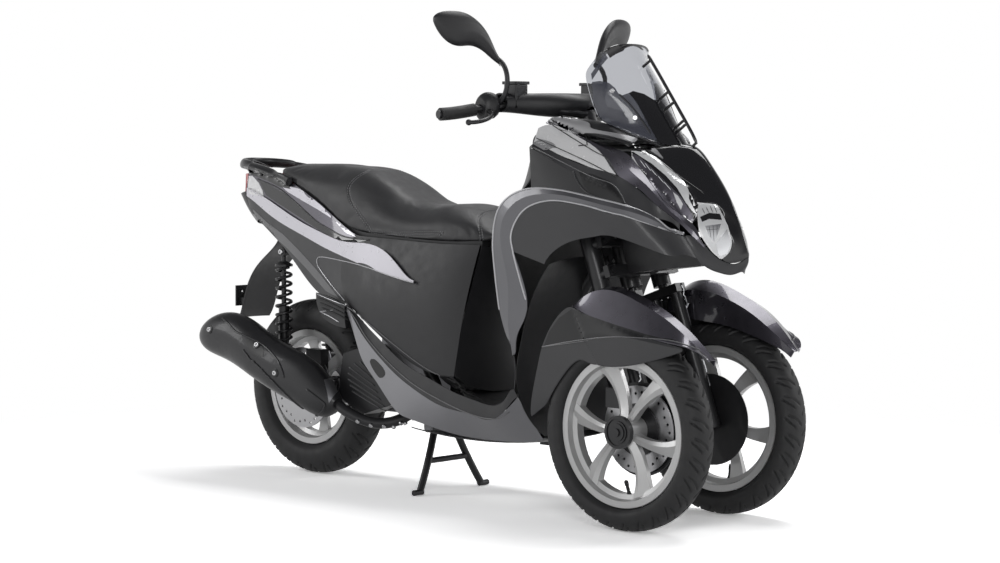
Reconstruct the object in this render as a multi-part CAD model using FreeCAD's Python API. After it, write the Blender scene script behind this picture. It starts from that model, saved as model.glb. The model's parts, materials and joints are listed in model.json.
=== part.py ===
import FreeCAD, Part
import math
import os
from FreeCAD import Placement, Rotation, Vector

os.makedirs("parts", exist_ok=True)
doc = FreeCAD.newDocument("ReverseTrike")

# Driving sizes in millimetres and degrees. The front axle and the rear axle carry everything else.
sheet = doc.addObject("Spreadsheet::Sheet", "Sizes")
driving = [
    ("front_axle_x", 679.0),
    ("wheelbase", 1310.0),
    ("front_track", 385.0),
    ("front_tyre_radius", 250.0),
    ("front_tyre_width", 90.0),
    ("front_rim_radius", 178.0),
    ("rear_tyre_radius", 251.0),
    ("rear_tyre_width", 110.0),
    ("rear_rim_radius", 153.0),
    ("front_disc_radius", 110.0),
    ("rear_disc_radius", 115.0),
    ("disc_thickness", 4.0),
    ("caster_angle", 20.0),
    ("kingpin_spread", 244.0),
    ("kingpin_setback", 23.0),
    ("steering_arm", 80.0),
    ("fork_tube_radius", 16.0),
    ("fork_tube_pitch", 72.0),
    ("bar_tube_radius", 11.0),
    ("grip_radius", 16.5),
    ("panel_wall", 2.8),
    ("panel_seam", 0.8),
    ("seat_gap", 0.6),
    ("axle_radius", 10.0),
    ("frame_tube_radius", 16.0),
]
for row, (alias, number) in enumerate(driving, start=1):
    sheet.set(f"A{row}", alias)
    sheet.set(f"B{row}", str(number))
    sheet.setAlias(f"B{row}", alias)
doc.recompute()


def size(alias):
    return float(sheet.get(alias))


axle = size("front_axle_x")
wheelbase = size("wheelbase")
track = size("front_track")
wall = size("panel_wall")
seam = size("panel_seam")
seat_gap = size("seat_gap")
wheel_y = track / 2
radius_front = size("front_tyre_radius")
radius_rear = size("rear_tyre_radius")
rear_x = axle - wheelbase
caster = math.radians(size("caster_angle"))
kingpin_y = size("kingpin_spread") / 2

drawn_wheelbase = 1310.0
middle_front = -480.0
middle_rear = -1000.0


def at(x, y, z):
    """A point measured from the front axle. The middle stretches when the wheelbase changes."""
    stretch = wheelbase - drawn_wheelbase
    share = min(max((middle_front - x) / (middle_front - middle_rear), 0.0), 1.0)
    return Vector(axle + x - stretch * share, y, z)


def rear(x, y, z):
    """A point measured from the rear axle."""
    return Vector(rear_x + x, y, z)


# The steering axes lean back by the caster angle. u runs up an axis, f runs forward from it.
axis_up = Vector(-math.sin(caster), 0, math.cos(caster))
axis_forward = Vector(math.cos(caster), 0, math.sin(caster))
axis_foot = at(-size("kingpin_setback"), 0, radius_front)


def steer(u, f, y):
    return axis_foot + axis_up * u + axis_forward * f + Vector(0, y, 0)


nodes = []


def node(label, shape, place=None):
    """Names one sub-part, puts it in its place and keeps it for the export."""
    feature = doc.addObject("Part::Feature", label)
    feature.Label = label
    feature.Shape = shape
    if place is not None:
        feature.Placement = Placement(place, Rotation())
    nodes.append(feature)
    return feature


def mirrored(shape):
    return shape.mirror(Vector(0, 0, 0), Vector(0, 1, 0))


def both(shape):
    return Part.makeCompound([shape, mirrored(shape)])


def smooth(points):
    if len(points) == 2:
        return Part.makeLine(points[0], points[1])
    curve = Part.BSplineCurve()
    curve.interpolate(points)
    return curve.toShape()


def spread(rail, count):
    """Count points at even steps along the smooth curve through a rail."""
    if len(rail) == count:
        return [at(*point) for point in rail]
    edge = smooth([at(*point) for point in rail])
    return edge.discretize(Number=count)


def chain(points, groups):
    """Edges through the points. Each group is one smooth edge, corners fall between groups."""
    edges = []
    start = 0
    for steps in groups:
        edges.append(smooth(points[start:start + steps + 1]))
        start += steps
    return edges


def thick(outer_rows, inner_rows, groups):
    """A closed skin between two grids of points."""
    wires = []
    caps = []
    last = len(outer_rows) - 1
    for index, (outer, inner) in enumerate(zip(outer_rows, inner_rows)):
        outside = chain(outer, groups)
        inside = chain(inner, groups)
        back = chain(inner[::-1], groups[::-1])
        rim_end = Part.makeLine(outer[-1], inner[-1])
        rim_start = Part.makeLine(inner[0], outer[0])
        wires.append(Part.Wire(outside + [rim_end] + back + [rim_start]))
        if index in (0, last):
            caps += [Part.makeRuledSurface(a, b) for a, b in zip(outside, inside)]
    sides = Part.makeLoft(wires, False, False)
    shell = Part.makeShell(sides.Faces + caps)
    shell.sewShape()
    solid = Part.makeSolid(shell)
    if solid.Volume < 0:
        solid.reverse()
    return solid


def step_from(point, towards, length):
    way = towards - point
    if way.Length < 2.5 * length:
        return point + way * 0.4
    return point + way.normalize() * length


def nearest(point, core):
    """The nearest point on the core line, where a panel's wall points."""
    start, end = core
    way = end - start
    share = (point - start).dot(way) / way.dot(way)
    return start + way * min(max(share, 0.0), 1.0)


def skin(rails, count, groups=None, core=None, thickness=None, ends=(True, True), sides=(True, True)):
    """A panel across rails. Its edges stay half a seam off the rails that neighbours share."""
    groups = groups or [len(rails) - 1]
    thickness = thickness or wall
    columns = [spread(rail, count) for rail in rails]
    rows = [[column[index] for column in columns] for index in range(count)]
    half = seam / 2
    trimmed = []
    for row in rows:
        line = list(row)
        if sides[0]:
            line[0] = step_from(row[0], row[1], half)
        if sides[1]:
            line[-1] = step_from(row[-1], row[-2], half)
        trimmed.append(line)
    if ends[0]:
        trimmed[0] = [step_from(a, b, half) for a, b in zip(trimmed[0], trimmed[1])]
    if ends[1]:
        trimmed[-1] = [step_from(a, b, half) for a, b in zip(trimmed[-1], trimmed[-2])]
    inner = []
    for row in trimmed:
        line = []
        for point in row:
            aim = nearest(point, core) - point
            line.append(point + aim.normalize() * thickness)
        inner.append(line)
    return thick(trimmed, inner, groups)


def length_to(start, way, target):
    """How far it is from a point to a shape along a way."""
    line = Part.makeLine(start, start + way * 400)
    hits = line.common(target)
    return min(vertex.Point.distanceToPoint(start) for vertex in hits.Vertexes)


def rod(start, end, radius):
    way = end - start
    return Part.makeCylinder(radius, way.Length, start, way)


def tube(points, radius, inner=0.0):
    """A round tube bent smoothly through points."""
    path = Part.Wire(smooth(points))
    way = path.Edges[0].tangentAt(path.Edges[0].FirstParameter)
    section = Part.Wire(Part.makeCircle(radius, points[0], way))
    body = path.makePipeShell([section], True, True)
    if inner:
        hollow = path.makePipeShell([Part.Wire(Part.makeCircle(inner, points[0], way))], True, True)
        body = body.cut(hollow)
    return body


def turned(profile):
    """A ring turned about the wheel axis from (across, radius) points, joined straight."""
    points = [Vector(0, across, radius) for across, radius in profile]
    face = Part.Face(Part.makePolygon(points + [points[0]]))
    return face.revolve(Vector(0, 0, 0), Vector(0, 1, 0), 360)


def slab(points, direction):
    face = Part.Face(Part.makePolygon(points + [points[0]]))
    return face.extrude(direction)


def plate_xz(outline, y_low, y_high, place=at):
    """A flat plate drawn in side view between two y values."""
    points = [place(x, y_low, z) for x, z in outline]
    return slab(points, Vector(0, y_high - y_low, 0))


def block(low, high, place=at):
    a = place(*low)
    b = place(*high)
    return Part.makeBox(b.x - a.x, b.y - a.y, b.z - a.z, a)


def trimmed(shape, *others):
    """The shape without what its neighbours take, and without splinters."""
    rest = shape
    for other in others:
        for solid in other.Solids:
            if rest.BoundBox.intersect(solid.BoundBox):
                rest = rest.cut(solid)
    largest = max(solid.Volume for solid in rest.Solids)
    kept = [solid for solid in rest.Solids if solid.Volume > 0.05 * largest]
    return kept[0] if len(kept) == 1 else Part.makeCompound(kept)


def fused(shapes):
    whole = shapes[0]
    for shape in shapes[1:]:
        whole = whole.fuse(shape)
    return whole.removeSplitter()


rim_r = size("front_rim_radius")
rim_rear_r = size("rear_rim_radius")
disc_t = size("disc_thickness")
hub_radius = 34.0


def rim_ring(half, seat):
    return [
        (-half, seat + 11), (-half + 5, seat + 11), (-half + 8, seat - 0.5), (-14, seat - 3),
        (-10, seat - 14),
        (10, seat - 14), (14, seat - 3), (half - 8, seat - 0.5), (half - 5, seat + 11), (half, seat + 11),
        (half, seat - 5), (16, seat - 9), (12, seat - 21), (-12, seat - 21), (-16, seat - 9),
        (-half, seat - 5),
    ]


def tyre_shape(half, outer, seat, rim_half):
    """A hollow tyre carcass with a round crown. Its beads stand inside the rim's flanges."""
    depth = outer - seat
    crown = [
        (-rim_half + 5.6, seat + 11.9), (-half * 0.93, seat + depth * 0.3), (-half, seat + depth * 0.5),
        (-half * 0.86, seat + depth * 0.76), (-half * 0.5, outer - depth * 0.055), (0, outer),
    ]
    crown += [(-across, radius) for across, radius in crown[-2::-1]]
    lining = [
        (rim_half - 13, seat + 12), (half * 0.9 - 8, seat + depth * 0.34), (half - 8, seat + depth * 0.5),
        (half * 0.8 - 5, outer - 21), (half * 0.45, outer - 12), (0, outer - 10),
    ]
    lining += [(-across, radius) for across, radius in lining[-2::-1]]
    toe = [(rim_half - 8.6, seat + 0.3), (rim_half - 15, seat + 0.3)]
    outside = smooth([Vector(0, a, r) for a, r in crown])
    inside = smooth([Vector(0, a, r) for a, r in lining])
    right_bead = [Vector(0, *crown[-1])] + [Vector(0, a, r) for a, r in toe] + [Vector(0, *lining[0])]
    left_bead = [Vector(0, *lining[-1])] + [Vector(0, -a, r) for a, r in toe[::-1]] + [Vector(0, *crown[0])]
    beads = [Part.makePolygon(bead).Edges for bead in (right_bead, left_bead)]
    wire = Part.Wire([outside] + beads[0] + [inside] + beads[1])
    return Part.Face(wire).revolve(Vector(0, 0, 0), Vector(0, 1, 0), 360)


def blade(middle, turn, stations):
    """One arm of a V pair. Its high edge faces away from the pair's middle."""
    sections = []
    for radius, swing, width, high in stations:
        way = math.radians(middle + turn * swing)
        centre = Vector(math.sin(way) * radius, 0, math.cos(way) * radius)
        side = Vector(math.cos(way), 0, -math.sin(way)) * turn
        corners = [
            centre - side * width * 0.5 + Vector(0, -8, 0),
            centre - side * width * 0.5 + Vector(0, high - 11, 0),
            centre + side * width * 0.16 + Vector(0, high, 0),
            centre + side * width * 0.5 + Vector(0, high - 4, 0),
            centre + side * width * 0.5 + Vector(0, -8, 0),
        ]
        sections.append(Part.makePolygon(corners + [corners[0]]))
    return Part.makeLoft(sections, True, False)


def wheel_rim(half, seat, hub_y, hub_r, stations, phase):
    """A cast rim with its spokes in three V pairs. The outside faces +Y."""
    ring = turned(rim_ring(half, seat))
    hub = Part.makeCylinder(hub_r, hub_y[1] - hub_y[0], Vector(0, hub_y[0], 0), Vector(0, 1, 0))
    spokes = []
    for middle in (phase, phase + 120, phase + 240):
        for turn in (-1, 1):
            spokes.append(blade(middle, turn, stations))
    whole = fused([ring, hub] + spokes)
    bore = Part.makeCylinder(size("axle_radius") + 0.5, 400, Vector(0, -200, 0), Vector(0, 1, 0))
    return whole.cut(bore)


def disc_shape(radius, inner, holes, thickness, plane):
    """A brake rotor turned about Y with a ring of drilled holes."""
    ring = Part.makeCylinder(radius, thickness, Vector(0, plane - thickness / 2, 0), Vector(0, 1, 0))
    ring = ring.cut(Part.makeCylinder(inner, 20, Vector(0, plane - 10, 0), Vector(0, 1, 0)))
    drills = []
    for index in range(holes):
        angle = 2 * math.pi * index / holes
        reach = radius - 11 - 9 * (index % 3) / 2
        centre = Vector(math.cos(angle) * reach, plane - 10, math.sin(angle) * reach)
        drills.append(Part.makeCylinder(3.6, 20, centre, Vector(0, 1, 0)))
    return ring.cut(Part.makeCompound(drills))


front_half = size("front_tyre_width") / 2
front_arms = [(24, 15, 20, 25), (70, 19, 25, 17), (120, 25, 34, 16), (rim_r - 12, 31, 52, 20)]
rear_arms = [(30, 15, 22, 22), (64, 19, 25, 14), (104, 25, 33, 14), (rim_rear_r - 12, 31, 46, 18)]
front_rim = wheel_rim(31, rim_r, (-37.7, 30), hub_radius, front_arms, 11)
front_tyre = tyre_shape(front_half, radius_front, rim_r, 31)
disc_plane = -40.0
front_disc = disc_shape(size("front_disc_radius"), 33.5, 30, disc_t, disc_plane)
for side, name in ((1, "left"), (-1, "right")):
    centre = at(0, side * wheel_y, radius_front)
    for label, shape in (("front_rim", front_rim), ("front_tyre", front_tyre), ("front_disc", front_disc)):
        node(f"{label}_{name}", shape if side > 0 else mirrored(shape), centre)

rear_half = size("rear_tyre_width") / 2
rear_centre = rear(0, 0, radius_rear)
node("rear_rim", wheel_rim(40, rim_rear_r, (-62, 48), 44, rear_arms, 20), rear_centre)
node("rear_tyre", tyre_shape(rear_half, radius_rear, rim_rear_r, 40), rear_centre)
node("rear_disc", disc_shape(size("rear_disc_radius"), 33.5, 30, disc_t, -64.3), rear_centre)

tube_r = size("fork_tube_radius")
pitch = size("fork_tube_pitch") / 2
arm = size("steering_arm")
stem_r = 12.0
stem_bore = stem_r + 0.6
axle_r = size("axle_radius")


def upright(y_centre):
    """The trailing pair of tubes that carries one front wheel, drawn for the left side."""
    parts = []
    for f in (-pitch, pitch):
        parts.append(rod(steer(140, f, y_centre), steer(332, f, y_centre), tube_r))
        parts.append(rod(steer(-34, f, y_centre), steer(168, f, y_centre), tube_r + 5))
    low = [steer(-30, -pitch - 14, y_centre - 15), steer(-30, pitch + 14, y_centre - 15)]
    low += [steer(26, pitch + 14, y_centre - 15), steer(26, -pitch - 14, y_centre - 15)]
    parts.append(slab(low, Vector(0, 30, 0)))
    top = [steer(330, -arm - 12, y_centre - 19), steer(330, pitch + 20, y_centre - 19)]
    top += [steer(352, pitch + 20, y_centre - 19), steer(352, -arm - 12, y_centre - 19)]
    parts.append(slab(top, Vector(0, 38, 0)))
    parts.append(rod(steer(345, 0, y_centre), steer(520, 0, y_centre), stem_r))
    parts.append(rod(steer(312, -arm, y_centre), steer(332, -arm, y_centre), 5))
    spindle = at(0, y_centre, radius_front)
    parts.append(rod(spindle, spindle + Vector(0, wheel_y - y_centre + 52, 0), axle_r))
    parts.append(rod(spindle, spindle + Vector(0, wheel_y - y_centre - 46.5, 0), 17))
    cap = spindle + Vector(0, wheel_y - y_centre + 31, 0)
    groove = rod(cap + Vector(0, 11, 0), cap + Vector(0, 16, 0), 34)
    groove = groove.cut(rod(cap + Vector(0, 11, 0), cap + Vector(0, 16, 0), 28))
    parts.append(rod(cap, cap + Vector(0, 14, 0), 41).cut(groove))
    parts.append(rod(cap, cap + Vector(0, 17, 0), 22))
    return fused(parts)


fork = upright(kingpin_y)
caliper_base = at(0, 0, radius_front) + Vector(-62, 0, 72)
caliper = Part.makeBox(56, 38, 50, caliper_base + Vector(-30, kingpin_y + 12, -22))
slot_start = at(0, wheel_y + disc_plane - disc_t / 2 - 2.5, radius_front)
slot = rod(slot_start, slot_start + Vector(0, disc_t + 5, 0), size("front_disc_radius") + 3.5)
caliper = caliper.cut(slot)

shield_y = kingpin_y + tube_r + 4
shield = Part.makeCylinder(118, 2.5, at(0, shield_y, radius_front), Vector(0, 1, 0))
fork = fused([fork, caliper, shield])

head = rod(steer(360, 0, kingpin_y), steer(505, 0, kingpin_y), 24)
beam_levels = (398, 478)
for u in beam_levels:
    head = head.fuse(rod(steer(u, 0, kingpin_y), steer(u, 33.5, kingpin_y), 15))
    head = head.fuse(rod(steer(u, 20, kingpin_y), steer(u, 56, kingpin_y), 8))
head = head.cut(rod(steer(350, 0, kingpin_y), steer(525, 0, kingpin_y), stem_bore))

beams = []
for u in beam_levels:
    reach = kingpin_y + 17
    corners = [steer(u - 15, 34, -reach), steer(u + 15, 34, -reach), steer(u + 15, 50, -reach)]
    corners.append(steer(u - 15, 50, -reach))
    beam = slab(corners, Vector(0, 2 * reach, 0))
    for y in (-kingpin_y, 0, kingpin_y):
        beam = beam.cut(rod(steer(u, 20, y), steer(u, 70, y), 8.3))
    beams.append(beam)
node("linkage", Part.makeCompound([head, mirrored(head)] + beams))

tray_half = 60.0
tray_low = steer(388, 50, 0)
tray_high = steer(488, 50, 0)
tray_side = [tray_low, tray_high, at(-20, 0, 735), at(118, 0, 702), at(142, 0, 664)]
tray_floor = [tray_low, at(142, 0, 664), at(141, 0, 667), steer(391, 50, 0)]
tray_parts = [slab([p - Vector(0, tray_half, 0) for p in tray_floor], Vector(0, 2 * tray_half, 0))]
for y in (-tray_half, tray_half - 3):
    tray_parts.append(slab([p + Vector(0, y, 0) for p in tray_side], Vector(0, 3, 0)))
node("nose_tray", fused(tray_parts))

tie = rod(steer(320, -arm, -kingpin_y), steer(320, -arm, kingpin_y), 6)
for y in (-kingpin_y, 0, kingpin_y):
    tie = tie.fuse(rod(steer(313, -arm, y), steer(327, -arm, y), 11))
for y in (-kingpin_y, 0, kingpin_y):
    tie = tie.cut(rod(steer(300, -arm, y), steer(340, -arm, y), 5.5))
node("tie_rod", tie)

bar_points = [at(-489, 367, 1032), at(-474, 300, 1038), at(-446, 205, 1052), at(-372, 110, 1052),
              at(-306, 40, 1036)]
bar_path = bar_points + [Vector(p.x, -p.y, p.z) for p in bar_points[::-1]]
bar_r = size("bar_tube_radius")
handlebar = tube(bar_path, bar_r)
column = rod(steer(312, 0, 0), steer(828, 0, 0), stem_r)
crown = rod(steer(800, 0, 0), steer(838, 0, 0), 24)
pitman = [steer(334, -arm - 12, -14), steer(334, 16, -14), steer(350, 16, -14), steer(350, -arm - 12, -14)]
pitman_pin = rod(steer(312, -arm, 0), steer(340, -arm, 0), 5)
steering = fused([handlebar, crown, column, slab(pitman, Vector(0, 28, 0)), pitman_pin])
node("handlebar", steering)

grip_r = size("grip_radius")
grip_out = smooth(bar_points)
grip_line = grip_out.discretize(Number=60)
grip_run = [p for p in grip_line if 246 < p.y < 362]
grip = tube(grip_run[::4], grip_r)
grip = grip.cut(tube(bar_points, bar_r + 0.3))
node("grips", both(grip))

spine_points = [at(-215, 0, 660), at(-290, 0, 612), at(-352, 0, 480), at(-362, 0, 330), at(-392, 0, 232)]
spine = tube(spine_points, 19)


side_pivot = at(-560, 150, 148)
shock_x = -1360
shock_y = 92
shock_low = 334
shock_top = 640
shock_pin_r = 7.0
stay_z = 430
hanger = at(-800, 0, 445)
hanger_r = 9.0


def frame_tubes():
    r = size("frame_tube_radius")
    runs = [spine]
    rail = [at(-395, 110, 225), at(-520, 138, 222), at(-630, 150, 226), at(-700, 158, 320),
            at(-800, 154, 445)]
    rail += [at(-1000, 136, 560), at(-1140, 126, 622), at(-1260, 104, 676), at(-1400, 66, 730),
             at(-1500, 46, 772)]
    side = tube(rail, r)
    runs += [side, mirrored(side)]
    for x, y, z in ((-395, 110, 225), (-650, 151, 240), (-1148, 124, 626), (-1400, 66, 730),
                    (-1490, 48, 768)):
        runs.append(rod(at(x, -y, z), at(x, y, z), r * 0.75))
    head_tube = rod(steer(360, 0, 0), steer(560, 0, 0), 27)
    for u in beam_levels:
        head_tube = head_tube.fuse(rod(steer(u, 0, 0), steer(u, 33.5, 0), 16))
        head_tube = head_tube.fuse(rod(steer(u, 20, 0), steer(u, 56, 0), 8))
    neck = slab([steer(450, -20, -16), steer(545, -20, -16), at(-290, -16, 640), at(-250, -16, 600)],
                Vector(0, 32, 0))
    tab = block((-575, 130, 134), (-545, 136.5, 225))
    stand_pin = rod(side_pivot + Vector(0, -18, 0), side_pivot + Vector(0, 16, 0), 6)
    lugs = []
    for side in (1, -1):
        y_near, y_far = sorted((side * 70, side * 80))
        lugs.append(block((shock_x - 12, y_near, shock_top - 10), (shock_x + 12, y_far, shock_top + 72)))
        pin = at(shock_x, side * 72, shock_top)
        lugs.append(rod(pin, pin + Vector(0, side * 32, 0), shock_pin_r))
    stay = rod(at(-356, 0, stay_z), at(-412.4, 0, stay_z), 9)
    runs.append(rod(hanger - Vector(0, 154, 0), hanger + Vector(0, 154, 0), hanger_r))
    whole = fused([head_tube, neck, tab, stand_pin, stay] + lugs + runs)
    return whole.cut(rod(steer(340, 0, 0), steer(700, 0, 0), stem_bore))


frame_shape = frame_tubes()
node("main_frame", frame_shape)

# Rails run front to rear on the left side as (x from the front axle, y, z).
nose_core = (at(-420, 0, 830), at(60, 0, 770))
rail_k = [(-300, 153, 1018), (-210, 150, 982), (-141, 146, 961), (-73, 136, 941), (-45, 130, 925),
          (-20, 125, 893), (28, 114, 850), (72, 101, 798), (109, 88, 765), (144, 75, 713)]
rail_m = [(-300, 168, 1012), (-215, 162, 985), (-130, 163, 945), (-85, 178, 914), (-44, 190, 882),
          (-13, 171, 861), (46, 143, 808), (83, 116, 773), (116, 98, 738), (146, 81, 704)]
rail_lens_low = [(-309, 205, 960), (-264, 206, 948), (-219, 207, 931), (-170, 206, 917), (-124, 203, 902),
                 (-85, 199, 893), (-48, 192, 884)]
rail_lens_top = [(-306, 190, 998), (-270, 169, 1006), (-225, 163, 990), (-175, 161, 968), (-130, 163, 945),
                 (-85, 178, 914), (-50, 190, 887)]
rail_band_top = [(-309, 205, 960), (-219, 207, 931), (-124, 203, 902), (-44, 190, 882), (-13, 171, 861),
                 (46, 143, 808), (92, 112, 765)]
rail_band_low = [(-313, 216, 950), (-230, 217, 915), (-140, 214, 880), (-62, 210, 853), (-9, 202, 812),
                 (50, 151, 777), (94, 117, 750)]
rail_cowl_low = [(-292, 232, 847), (-230, 231, 846), (-165, 228, 839), (-90, 220, 826), (-20, 205, 811)]
rail_cowl_top = [(-313, 216, 950), (-230, 217, 915), (-140, 214, 880), (-62, 210, 853), (-16, 203, 816)]
rail_c = [(104, 109, 742), (52, 150, 776), (-9, 202, 810), (-75, 218, 824), (-182, 229, 842),
          (-292, 233, 846),
          (-361, 236, 825), (-405, 237, 780), (-419, 236, 711), (-412, 236, 634), (-394, 237, 532),
          (-363, 238, 457),
          (-347, 238, 417)]
rail_j = [(107, 108, 733), (62, 146, 752), (0, 200, 779), (-52, 213, 789), (-128, 227, 806),
          (-225, 234, 814),
          (-310, 237, 790), (-352, 238, 735), (-345, 238, 683), (-301, 235, 562), (-322, 237, 490),
          (-336, 238, 445),
          (-343, 238, 419)]
rail_cj = [(106, 110, 738), (57, 151, 767), (-4, 206, 797), (-63, 221, 809), (-154, 233, 827),
           (-258, 238, 832),
           (-337, 241, 810), (-382, 242, 760), (-386, 241, 698), (-362, 241, 600), (-360, 242, 512),
           (-352, 242, 452),
           (-345, 242, 418)]
rail_d = [(134, 98, 680), (104, 130, 687), (68, 163, 694), (-24, 205, 728), (-91, 218, 730),
          (-150, 226, 719),
          (-199, 229, 700), (-231, 231, 677), (-246, 232, 655)]

rail_crease = [(-300, 161, 1016), (-215, 157, 986), (-130, 156, 955), (-60, 154, 918), (-30, 153, 892),
               (10, 141, 858), (58, 124, 806), (95, 104, 770), (128, 88, 736), (146, 79, 708)]
cheek = skin([rail_k, rail_crease, rail_m], 14, groups=[1, 1], core=nose_core)
running_lamp = skin([
    [(-54, 124, 943), (-8, 100, 927), (37, 86, 882), (86, 71, 846), (104, 70, 818), (117, 71, 789)],
    [(-48, 130, 927), (-20, 124, 895), (28, 113, 851), (60, 103, 813), (88, 95, 784), (110, 86, 765)],
], 10, core=nose_core, thickness=4)
indicator = skin([rail_lens_top, rail_lens_low], 7, core=nose_core, thickness=4)
node("front_indicators", both(indicator))
band = skin([rail_band_top, rail_band_low], 7, core=nose_core)
band = trimmed(band, indicator)
node("fairing_bands", both(band))
strip = skin([rail_c, rail_cj, rail_j], 13, groups=[1, 1], core=(at(-300, 0, 400), at(-300, 0, 700)))
strip = trimmed(strip, band)
node("leg_strips", both(strip))
inner_cowl = skin([rail_cowl_top, rail_cowl_low], 5, core=nose_core)
inner_cowl = trimmed(inner_cowl, strip, band)
node("inner_cowls", both(inner_cowl))
arch = skin([rail_j[:9], rail_d], 9, core=(at(-420, 0, 760), at(60, 0, 760)))
arch = trimmed(arch, strip)

nose_rows = [
    [(30, 0, 960), (5, 42, 955), (-24, 86, 946), (-54, 122, 944)],
    [(62, 0, 946), (34, 40, 941), (-4, 80, 932), (-9, 101, 928)],
    [(97, 0, 911), (68, 36, 908), (26, 70, 907), (14, 93, 905)],
    [(126, 0, 875), (102, 30, 876), (60, 58, 879), (48, 82, 873)],
    [(148, 0, 845), (128, 25, 850), (90, 49, 859), (84, 71, 848)],
    [(167, 0, 815), (152, 18, 822), (120, 40, 836), (105, 66, 822)],
    [(180, 0, 790), (171, 12, 796), (158, 24, 806), (146, 32, 812)],
    [(191, 0, 768), (184, 10, 770), (176, 19, 774), (167, 28, 777)],
    [(203, 0, 738), (198, 10, 740), (191, 20, 742), (183, 29, 746)],
    [(215, 0, 706), (210, 10, 707), (203, 20, 710), (191, 30, 714)],
    [(220, 0, 690), (212, 12, 688), (201, 25, 688), (185, 38, 690)],
    [(220, 0, 683), (209, 11, 674), (196, 24, 668), (174, 48, 678)],
]
nose_rails = [[row[k] for row in nose_rows] for k in range(4)]
left_rails = nose_rails[::-1]
right_rails = [[(x, -y, z) for x, y, z in rail] for rail in nose_rails[1:]]
nose = skin(left_rails + right_rails, 16, core=nose_core)

lamp_inner = [(146, 32, 812), (167, 28, 777), (183, 29, 746), (191, 30, 714), (185, 38, 690),
              (174, 48, 678)]
lamp_outer = [(104, 68, 818), (117, 74, 786), (129, 81, 745), (140, 76, 722), (154, 68, 700),
              (170, 52, 679)]
headlamp = skin([lamp_inner, lamp_outer], 10, core=nose_core, thickness=4)
node("headlamps", Part.makeCompound([both(headlamp), both(running_lamp)]))
cheek = trimmed(cheek, indicator, band, headlamp, running_lamp)
node("cheek_panels", both(cheek))
nose = trimmed(nose, both(headlamp), both(running_lamp), both(cheek))
node("nose_cowl", nose)

chin_rows = [
    [(220, 0, 682), (208, 10, 672), (195, 22, 665), (182, 38, 669), (171, 52, 677), (150, 72, 702),
     (120, 96, 734),
     (107, 108, 736)],
    [(218, 0, 667), (207, 11, 660), (193, 25, 654), (177, 47, 656), (161, 67, 664), (144, 85, 686),
     (124, 102, 711),
     (114, 107, 720)],
    [(199, 0, 645), (196, 12, 642), (186, 30, 638), (170, 50, 643), (157, 66, 650), (146, 80, 660),
     (137, 93, 673),
     (134, 98, 680)],
]
chin_rails = []
for k in range(8):
    chin_rails.append([row[k] for row in chin_rows])
chin_left = chin_rails[::-1]
chin_right = [[(x, -y, z) for x, y, z in rail] for rail in chin_rails[1:]]
chin = skin(chin_left + chin_right, 3, core=(at(0, 0, 760), at(60, 0, 760)))
chin = trimmed(chin, both(arch), both(cheek), both(strip))
node("arch_panels", Part.makeCompound([both(arch), chin]))

top_rows = [
    [(-302, 151, 1020), (-303, 144, 1024), (-304, 130, 1025)],
    [(-215, 149, 994), (-222, 142, 1015), (-232, 128, 1022)],
    [(-140, 145, 976), (-144, 137, 1000), (-150, 124, 1014)],
    [(-78, 137, 963), (-84, 124, 980), (-92, 106, 990)],
    [(-60, 129, 953), (-60, 112, 962), (-62, 92, 976)],
]
upper = skin([[row[k] for row in top_rows] for k in range(3)], 5, core=nose_core)

dash_rows = [
    [(-330, 0, 1002), (-328, 60, 1003), (-304, 130, 1025)],
    [(-255, 0, 1006), (-253, 60, 1008), (-232, 128, 1022)],
    [(-170, 0, 1004), (-166, 60, 1004), (-150, 124, 1014)],
    [(-70, 0, 978), (-72, 50, 980), (-92, 106, 990)],
    [(22, 0, 934), (4, 46, 946), (-62, 92, 976)],
]
dash_rails = [[row[k] for row in dash_rows] for k in range(3)]
dash_left = dash_rails[::-1]
dash_right = [[(x, -y, z) for x, y, z in rail] for rail in dash_rails[1:]]
dash = skin(dash_left + dash_right, 5, core=nose_core)
dash = dash.cut(rod(steer(700, 0, 0), steer(900, 0, 0), 34))
upper = trimmed(upper, cheek, running_lamp)
dash = trimmed(dash, both(upper), nose, both(cheek))
node("dash_cover", Part.makeCompound([dash, both(upper)]))

screen_rows = [
    [(34, 0, 939), (-2, 45, 955), (-58, 90, 979), (-140, 125, 1014)],
    [(-20, 0, 1010), (-45, 46, 1018), (-100, 93, 1034), (-176, 130, 1064)],
    [(-75, 0, 1090), (-94, 50, 1095), (-135, 98, 1106), (-194, 133, 1122)],
    [(-122, 0, 1160), (-136, 46, 1160), (-164, 88, 1157), (-198, 121, 1150)],
    [(-152, 0, 1212), (-156, 36, 1211), (-164, 70, 1204), (-180, 98, 1188)],
]
screen_rails = [[row[k] for row in screen_rows] for k in range(4)]
screen_left = screen_rails[::-1]
screen_right = [[(x, -y, z) for x, y, z in rail] for rail in screen_rails[1:]]
screen = skin(screen_left + screen_right, 5, core=(at(-600, 0, 1000), at(-600, 0, 1100)), thickness=3)
screen_feet = []
for x, y, z in ((-45, 46, 1018), (-100, 93, 1034)):
    inward = Vector(-0.8, -0.25, -0.55).normalize()
    start = at(x, y, z) + inward * 1.6
    screen_feet.append(rod(start, start + inward * (length_to(start, inward, dash) + 1.5), 5))
screen_feet = [trimmed(foot, dash) for foot in screen_feet]
screen = fused([screen] + screen_feet + [mirrored(foot) for foot in screen_feet])
screen = trimmed(screen, dash, both(upper), nose)
node("windscreen", screen)

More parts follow.
